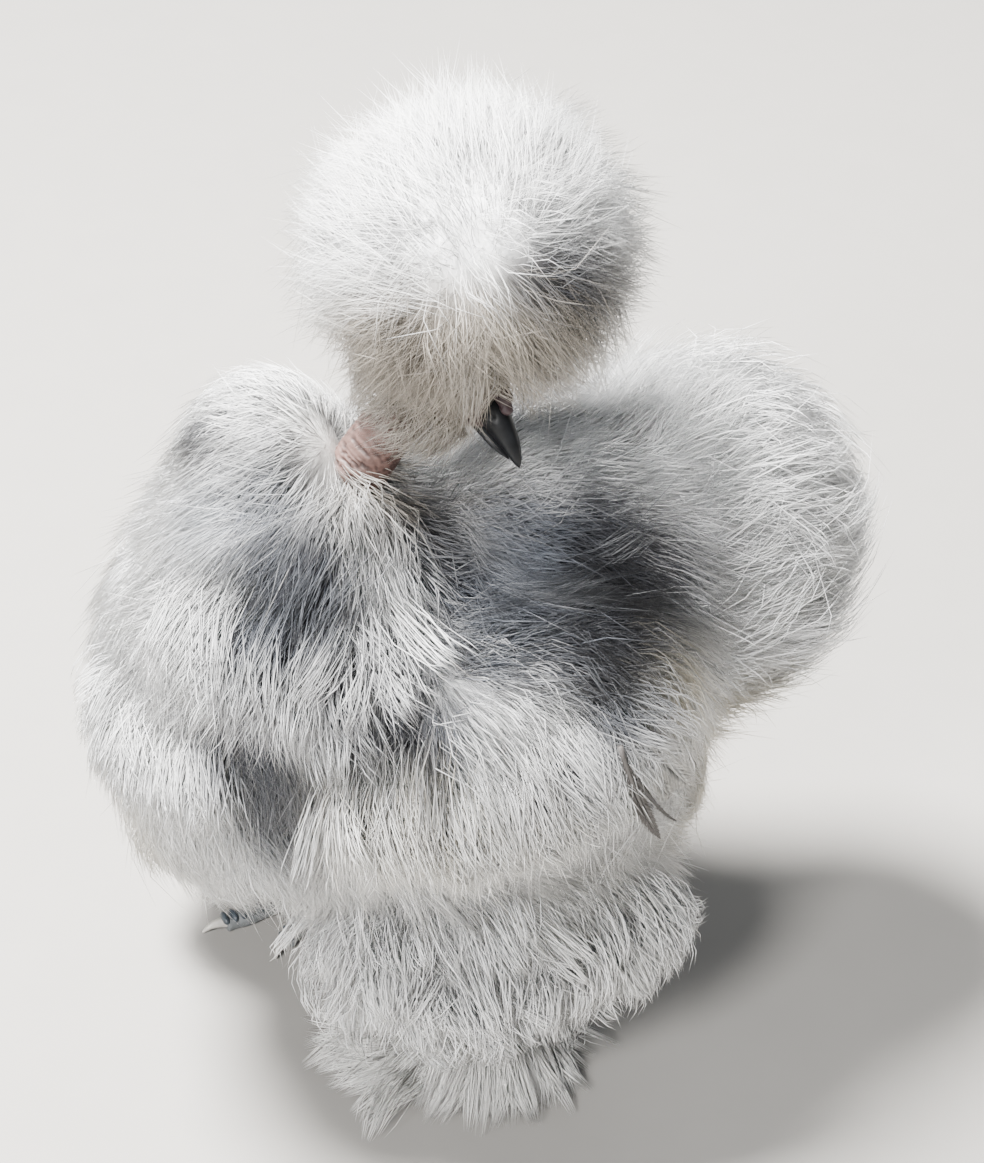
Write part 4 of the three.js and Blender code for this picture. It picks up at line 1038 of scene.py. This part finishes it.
SCUTE_LINKS = """
    given.Toes > lines.Mesh
    lines.Curve > evenly.Curve
    given.Spacing > evenly.Length
    evenly.Curve > laid.Points
    ahead.Tangent > aligned.Vector
    aligned.Rotation > laid.Rotation
    along_toe.Factor > narrowing.Value
    given.Tip Share > narrowing.To Max
    narrowing.Result > laid.Scale
    given.Spacing > half_spacing.Value
    half_spacing.Value > plate_size.X
    given.Half Width > plate_size.Y
    given.Thickness > plate_size.Z
    plate.Mesh > flattened.Geometry
    plate_size.Vector > flattened.Scale
    flattened.Geometry > laid.Instance
    laid.Instances > real.Geometry
    real.Geometry > horn.Geometry
    given.Horn > horn.Material
    horn.Geometry > out.Scutes
"""
for link in SCUTE_LINKS.strip().splitlines():
    (start, leaving), (end, entering) = (socket.strip().split(".") for socket in link.split(">"))
    scute_tree.links.new(made[start].outputs[leaving], made[end].inputs[entering])

SCUTE_HORN = paint("slate_scutes", 0.42, (0.55, 1.25), 420, 0.2, tint=(0.042, 0.052, 0.063))
SCUTES = {
    "Spacing": 3.3 * MM, "Half Width": 4.1 * MM, "Thickness": 2.4 * MM, "Tip Share": 0.78,
    "Horn": SCUTE_HORN,
}
SCUTE_LIFT = 2.6
for name, foot in FEET.items():
    edges_mesh = bpy.data.meshes.new(f"toe_lines_{name}")
    corners, edges = [], []
    for toe in TOES:
        line = smooth_path(toe_path(foot, toe), 12)
        line[:, 2] += SCUTE_LIFT
        edges += [(len(corners) + i, len(corners) + i + 1) for i in range(len(line) - 1)]
        corners += [tuple(at) for at in in_frame(line)]
    edges_mesh.from_pydata(corners, edges, [])
    toe_lines = bpy.data.objects.new(f"toe_lines_{name}", edges_mesh)
    bpy.context.collection.objects.link(toe_lines)
    plates = toe_lines.modifiers.new("scutes", "NODES")
    plates.node_group = scute_tree
    for socket in scute_tree.interface.items_tree:
        if socket.name in SCUTES:
            plates[socket.identifier] = SCUTES[socket.name]
    seen = bpy.context.evaluated_depsgraph_get()
    scutes = bpy.data.meshes.new_from_object(toe_lines.evaluated_get(seen))
    scutes.name = f"scutes_{name}"
    bpy.data.objects.remove(toe_lines)
    place(f"scutes_{name}", scutes, SCUTE_HORN, "scales", f"foot_{name}")


# The feathered feet.
# Loose white feathers fan out from the shanks and the outer toes, and lie along the floor. The left foot
# is wholly hidden by them, and the right one shows its inner toes.
PLUME_HAIRS = 16
PLUME_STATIONS = (0, 0.45, 0.78, 1)
PLUME_WIDTH = 0.34
PLUME_CLUMP = 0.85
PLUME_WHITE = np.array((0.94, 0.925, 0.885))
PLUME_TIP = 0.3
FLOOR_GAP = 0.8


def plume(foot, first, last, root, long, high, tufts, seed, patch, arch=3.0):
    """A fan of tufts between two angles, from a height on the leg down to the floor."""
    draw = np.random.default_rng(seed)
    of_tuft = np.repeat(np.arange(tufts), PLUME_HAIRS)
    count = len(of_tuft)
    mid = draw.uniform(first, last, tufts)
    tuft_high = draw.uniform(*high, tufts)
    tuft_long = draw.uniform(0.75, 1.1, tufts) * long
    angle = mid[of_tuft] + draw.normal(0, 7, count)
    bending = draw.normal(0, 12, tufts)[of_tuft] + draw.normal(0, 6, count)
    start = draw.uniform(*root, tufts)[of_tuft] + draw.normal(0, 0.8, count)
    length = tuft_long[of_tuft] * draw.uniform(0.7, 1.1, count)
    height = tuft_high[of_tuft] + draw.normal(0, 1.0, count)
    spine = []
    for s in PLUME_STATIONS:
        up = height * (1 - s) ** 1.3 + arch * math.sin(math.pi * s) + s * draw.uniform(1.2, 3.2, count)
        spine.append(near_foot(foot, angle * (1 - 0.1 * s) + bending * s, start + length * s, up))
    spine = np.stack(spine, 1)
    leaders = spine.reshape(tufts, PLUME_HAIRS, 4, 3).mean(1)[of_tuft]
    spine = spine + (leaders - spine) * PLUME_CLUMP * np.array(PLUME_STATIONS)[None, :, None]
    spine[..., 2] = np.maximum(spine[..., 2], FLOOR_GAP)
    facing = np.radians(mid)
    tuft = unit(np.stack((np.cos(facing), np.sin(facing), tuft_high / 12 - 1), -1))
    spine, of_tuft = trimmed(spine, of_tuft)
    white = np.broadcast_to(PLUME_WHITE, (len(of_tuft), 3)) * draw.uniform(0.86, 1.04, (len(of_tuft), 1))
    return spiked(
        spine, np.array(PLUME_STATIONS), tuft, of_tuft, PLUME_WIDTH, draw, PLUME_TIP, patch, white)


LEFT_FOOT, RIGHT_FOOT = FEET["left"], FEET["right"]
coat_piece(
    "foot_left_feathers", "plumage", "foot_left shank_left", plume,
    (LEFT_FOOT, -60, 175, (3, 8), 42, (10, 40), 200, 41, {}),
    (LEFT_FOOT, -50, 50, (12, 34), 34, (6, 11), 100, 42, {}),
)
coat_piece(
    "foot_right_feathers", "plumage", "foot_right shank_right", plume,
    (RIGHT_FOOT, 30, 175, (3, 8), 30, (8, 40), 130, 43, {}),
    (RIGHT_FOOT, 24, 60, (12, 26), 24, (6, 9), 60, 44, dict(arch=2)),
)


# The flight feathers.
# Loose vanes in a fan at the wing's end, folded against the body, some smoke-dark. Two narrow brownish
# quills hang out past the wing's fringe.
SHAFT_RADII = np.linspace(0.9, 0.25, 12)
BARB_SPAN = (0.12, 0.97)
BARB_LEAD = 2.4


def vane(root, tip, bulge, wide, barbs, width, tint, seed, patch):
    """A shaft from root to tip through a bulge, with barbs that lean to the tip on both sides."""
    draw = np.random.default_rng(seed)
    root, tip = np.array(root, float), np.array(tip, float)
    middle = (root + tip) / 2 + bulge
    shares = np.tile(np.linspace(*BARB_SPAN, barbs), 2)
    sides = np.repeat((1, -1), barbs)
    at = ((1 - shares) ** 2)[:, None] * root + (2 * shares * (1 - shares))[:, None] * middle
    at = at + (shares**2)[:, None] * tip
    along = unit(2 * (1 - shares)[:, None] * (middle - root) + 2 * shares[:, None] * (tip - middle))
    across = unit(np.cross(along, np.array((1.0, 0.15, 0.3))))
    reach = wide * np.sin(np.clip(shares, 0, 1) * math.pi * 0.9 + 0.25) * draw.uniform(0.8, 1.1, len(shares))
    lead = reach * BARB_LEAD
    stations = np.array((0, 0.5, 1))
    spine = [at + across * (sides * reach * s)[:, None] + along * (lead * s)[:, None] for s in stations]
    spine = np.stack(spine, 1) + draw.normal(0, 0.25, (len(at), 3, 3)) * stations[None, :, None]
    whole = np.zeros(len(at), int)
    tints = np.broadcast_to(np.array(tint), (len(at), 3)) * draw.uniform(0.7, 1.2, (len(at), 1))
    place_on = unit(np.array([root - np.array(WING_LEFT["centre"])]))
    web = spiked(spine, stations, place_on, whole, width, draw, 0.05, patch, tints)
    steps = np.linspace(0, 1, len(SHAFT_RADII))
    path = np.array([(1 - t) ** 2 * root + 2 * t * (1 - t) * middle + t * t * tip for t in steps])
    shaft, faces = tube(path, SHAFT_RADII, 8)
    shaft_tints = np.broadcast_to(np.array(tint) * 0.6, shaft.shape)
    flat = np.broadcast_to(tuft_place(place_on, patch)[0], (len(shaft), 2))
    return gathered([web, (shaft, faces, shaft_tints, flat)])


FLIGHT_ROOT = np.array((91, 20, 168))
FLIGHT_LENGTH = 40
FLIGHT_DARK = (0.2, 0.2, 0.22)
FLIGHT_PALE = (0.6, 0.59, 0.56)
QUILL_DARK = (0.05, 0.045, 0.043)
QUILL_BROWN = (0.11, 0.1, 0.095)
flight = []
for number in range(6):
    down = math.radians(86 - 6 * number)
    root = FLIGHT_ROOT + np.array((-0.8, 2.6, 1.0)) * number
    tip = root + np.array((-0.1, math.cos(down), -math.sin(down))) * FLIGHT_LENGTH
    tint = FLIGHT_PALE if number % 3 else FLIGHT_DARK
    flight.append((root, tip, (4, 1, 0), 4.6, 110, 0.5, tint, 60 + number, {}))
flight.append(((95, 27, 172), (90, 44, 126), (6, -3, 0), 2.6, 240, 0.4, QUILL_BROWN, 70, {}))
flight.append(((95, 33, 158), (88, 50, 130), (5, -2, 0), 0.8, 60, 0.3, QUILL_DARK, 71, {}))
coat_piece("flight_feathers", "grey_plumage", "wing_left", vane, *flight)


# The beak.
# Two halves of smooth black horn. The upper one has a sharp ridge and a dented nostril on each side, and
# hooks over the lower one.
BILL_ROOT = 11.5
BILL_LENGTH = 25
UPPER_BILL = [
    (0, 0.6, 5.6, 5.2), (0.25, 0.2, 4.9, 5.2), (0.5, -0.8, 4.0, 4.4),
    (0.75, -2.6, 2.8, 3.0), (0.92, -4.6, 1.5, 1.7), (1, -6.2, 0.15, 0.15),
]
LOWER_BILL = [(0, -7.4, 4.6, 2.6), (0.3, -7.2, 3.9, 2.2), (0.6, -7.4, 2.8, 1.5), (0.82, -8.0, 0.2, 0.2)]
NOSTRIL_AT = (20, 2.4)
NOSTRIL_SIZE = (2.3, 1.2)
NOSTRIL_DENT = 0.28
BILL_STEPS, BILL_SIDES = 48, 64
THINNEST = 0.1


def bill(sections, ridge, dent):
    """A horn loft through sections of a share of the length, a height, a half width and a half height."""
    fine = smooth_path(sections, BILL_STEPS)
    angles = np.linspace(0, 2 * math.pi, BILL_SIDES, endpoint=False)
    rings = []
    for share, height, wide, high in fine:
        wide, high = max(wide, THINNEST), max(high, THINNEST)
        ring = []
        for angle in angles:
            pinch = 1 - ridge * max(math.sin(angle), 0) ** 3
            ahead = BILL_ROOT + share * BILL_LENGTH
            across = wide * math.cos(angle) * pinch
            up = height + high * math.sin(angle)
            slit = math.hypot(*((a - b) / c for a, b, c in zip((ahead, up), NOSTRIL_AT, NOSTRIL_SIZE)))
            across *= 1 - dent * math.exp(-2 * slit**2)
            ring.append(head_point(ahead, across, up))
        rings.append(ring)
    return skinned(np.array(rings))


HORN = paint("black_horn", 0.42, (0.6, 1.4), 350, 0.1, tint=(0.005, 0.0055, 0.0065), Specular_IOR_Level=0.22)
upper_bill, lower_bill = bill(UPPER_BILL, 0.35, NOSTRIL_DENT), bill(LOWER_BILL, 0, 0)
place("upper_beak", fill_mesh("upper_beak", *upper_bill), HORN, "horn", "beak_upper")
place("lower_beak", fill_mesh("lower_beak", *lower_bill), HORN, "horn", "beak_lower")


# The eyes.
# Wet, dark brown-black balls, sunk between the lids.
EYE_RADIUS = 4.2
WET = dict(Coat_Weight=1.0, Coat_Roughness=0.02)
EYE = paint("dark_eye", 0.05, (0.5, 1.2), 500, 0, tint=(0.035, 0.014, 0.008), **WET)
for name, side in (("left", 1), ("right", -1)):
    ball = bead(head_point(EYE_AT[0], side * EYE_AT[1], EYE_AT[2]), (EYE_RADIUS,) * 3, HEAD_AXES)
    place(f"eyeball_{name}", fill_mesh(f"eyeball_{name}", *ball), EYE, "eye", f"eye_{name}")


# The claws.
# Short curved nails of pale, mottled grey horn, one grown into the end of every toe.
CLAW = paint("pale_claw", 0.35, (0.6, 1.0), 300, 0.05, tint=(0.5, 0.48, 0.44))
# How far past the toe's end, that and a share of the claw's length, and the height there.
CLAW_STATIONS = ((-3, 0, 3.08), (0, 0.5, 3.98), (0, 1, 1.88))
CLAW_RADII = 2.3 * (1 - np.linspace(0, 1, 14)) + 0.3
for name, foot in FEET.items():
    for number, toe in enumerate(TOES, 1):
        path = [
            near_foot(foot, toe["angle"], toe["length"] + past + share * toe["claw"], height + toe["rise"])
            for past, share, height in CLAW_STATIONS
        ]
        nail = tube(smooth_path(path, len(CLAW_RADII)), CLAW_RADII, 16)
        piece = f"nail_{name}_{number}"
        place(piece, fill_mesh(piece, *nail), CLAW, "claw", f"claw_{name}_{number}")
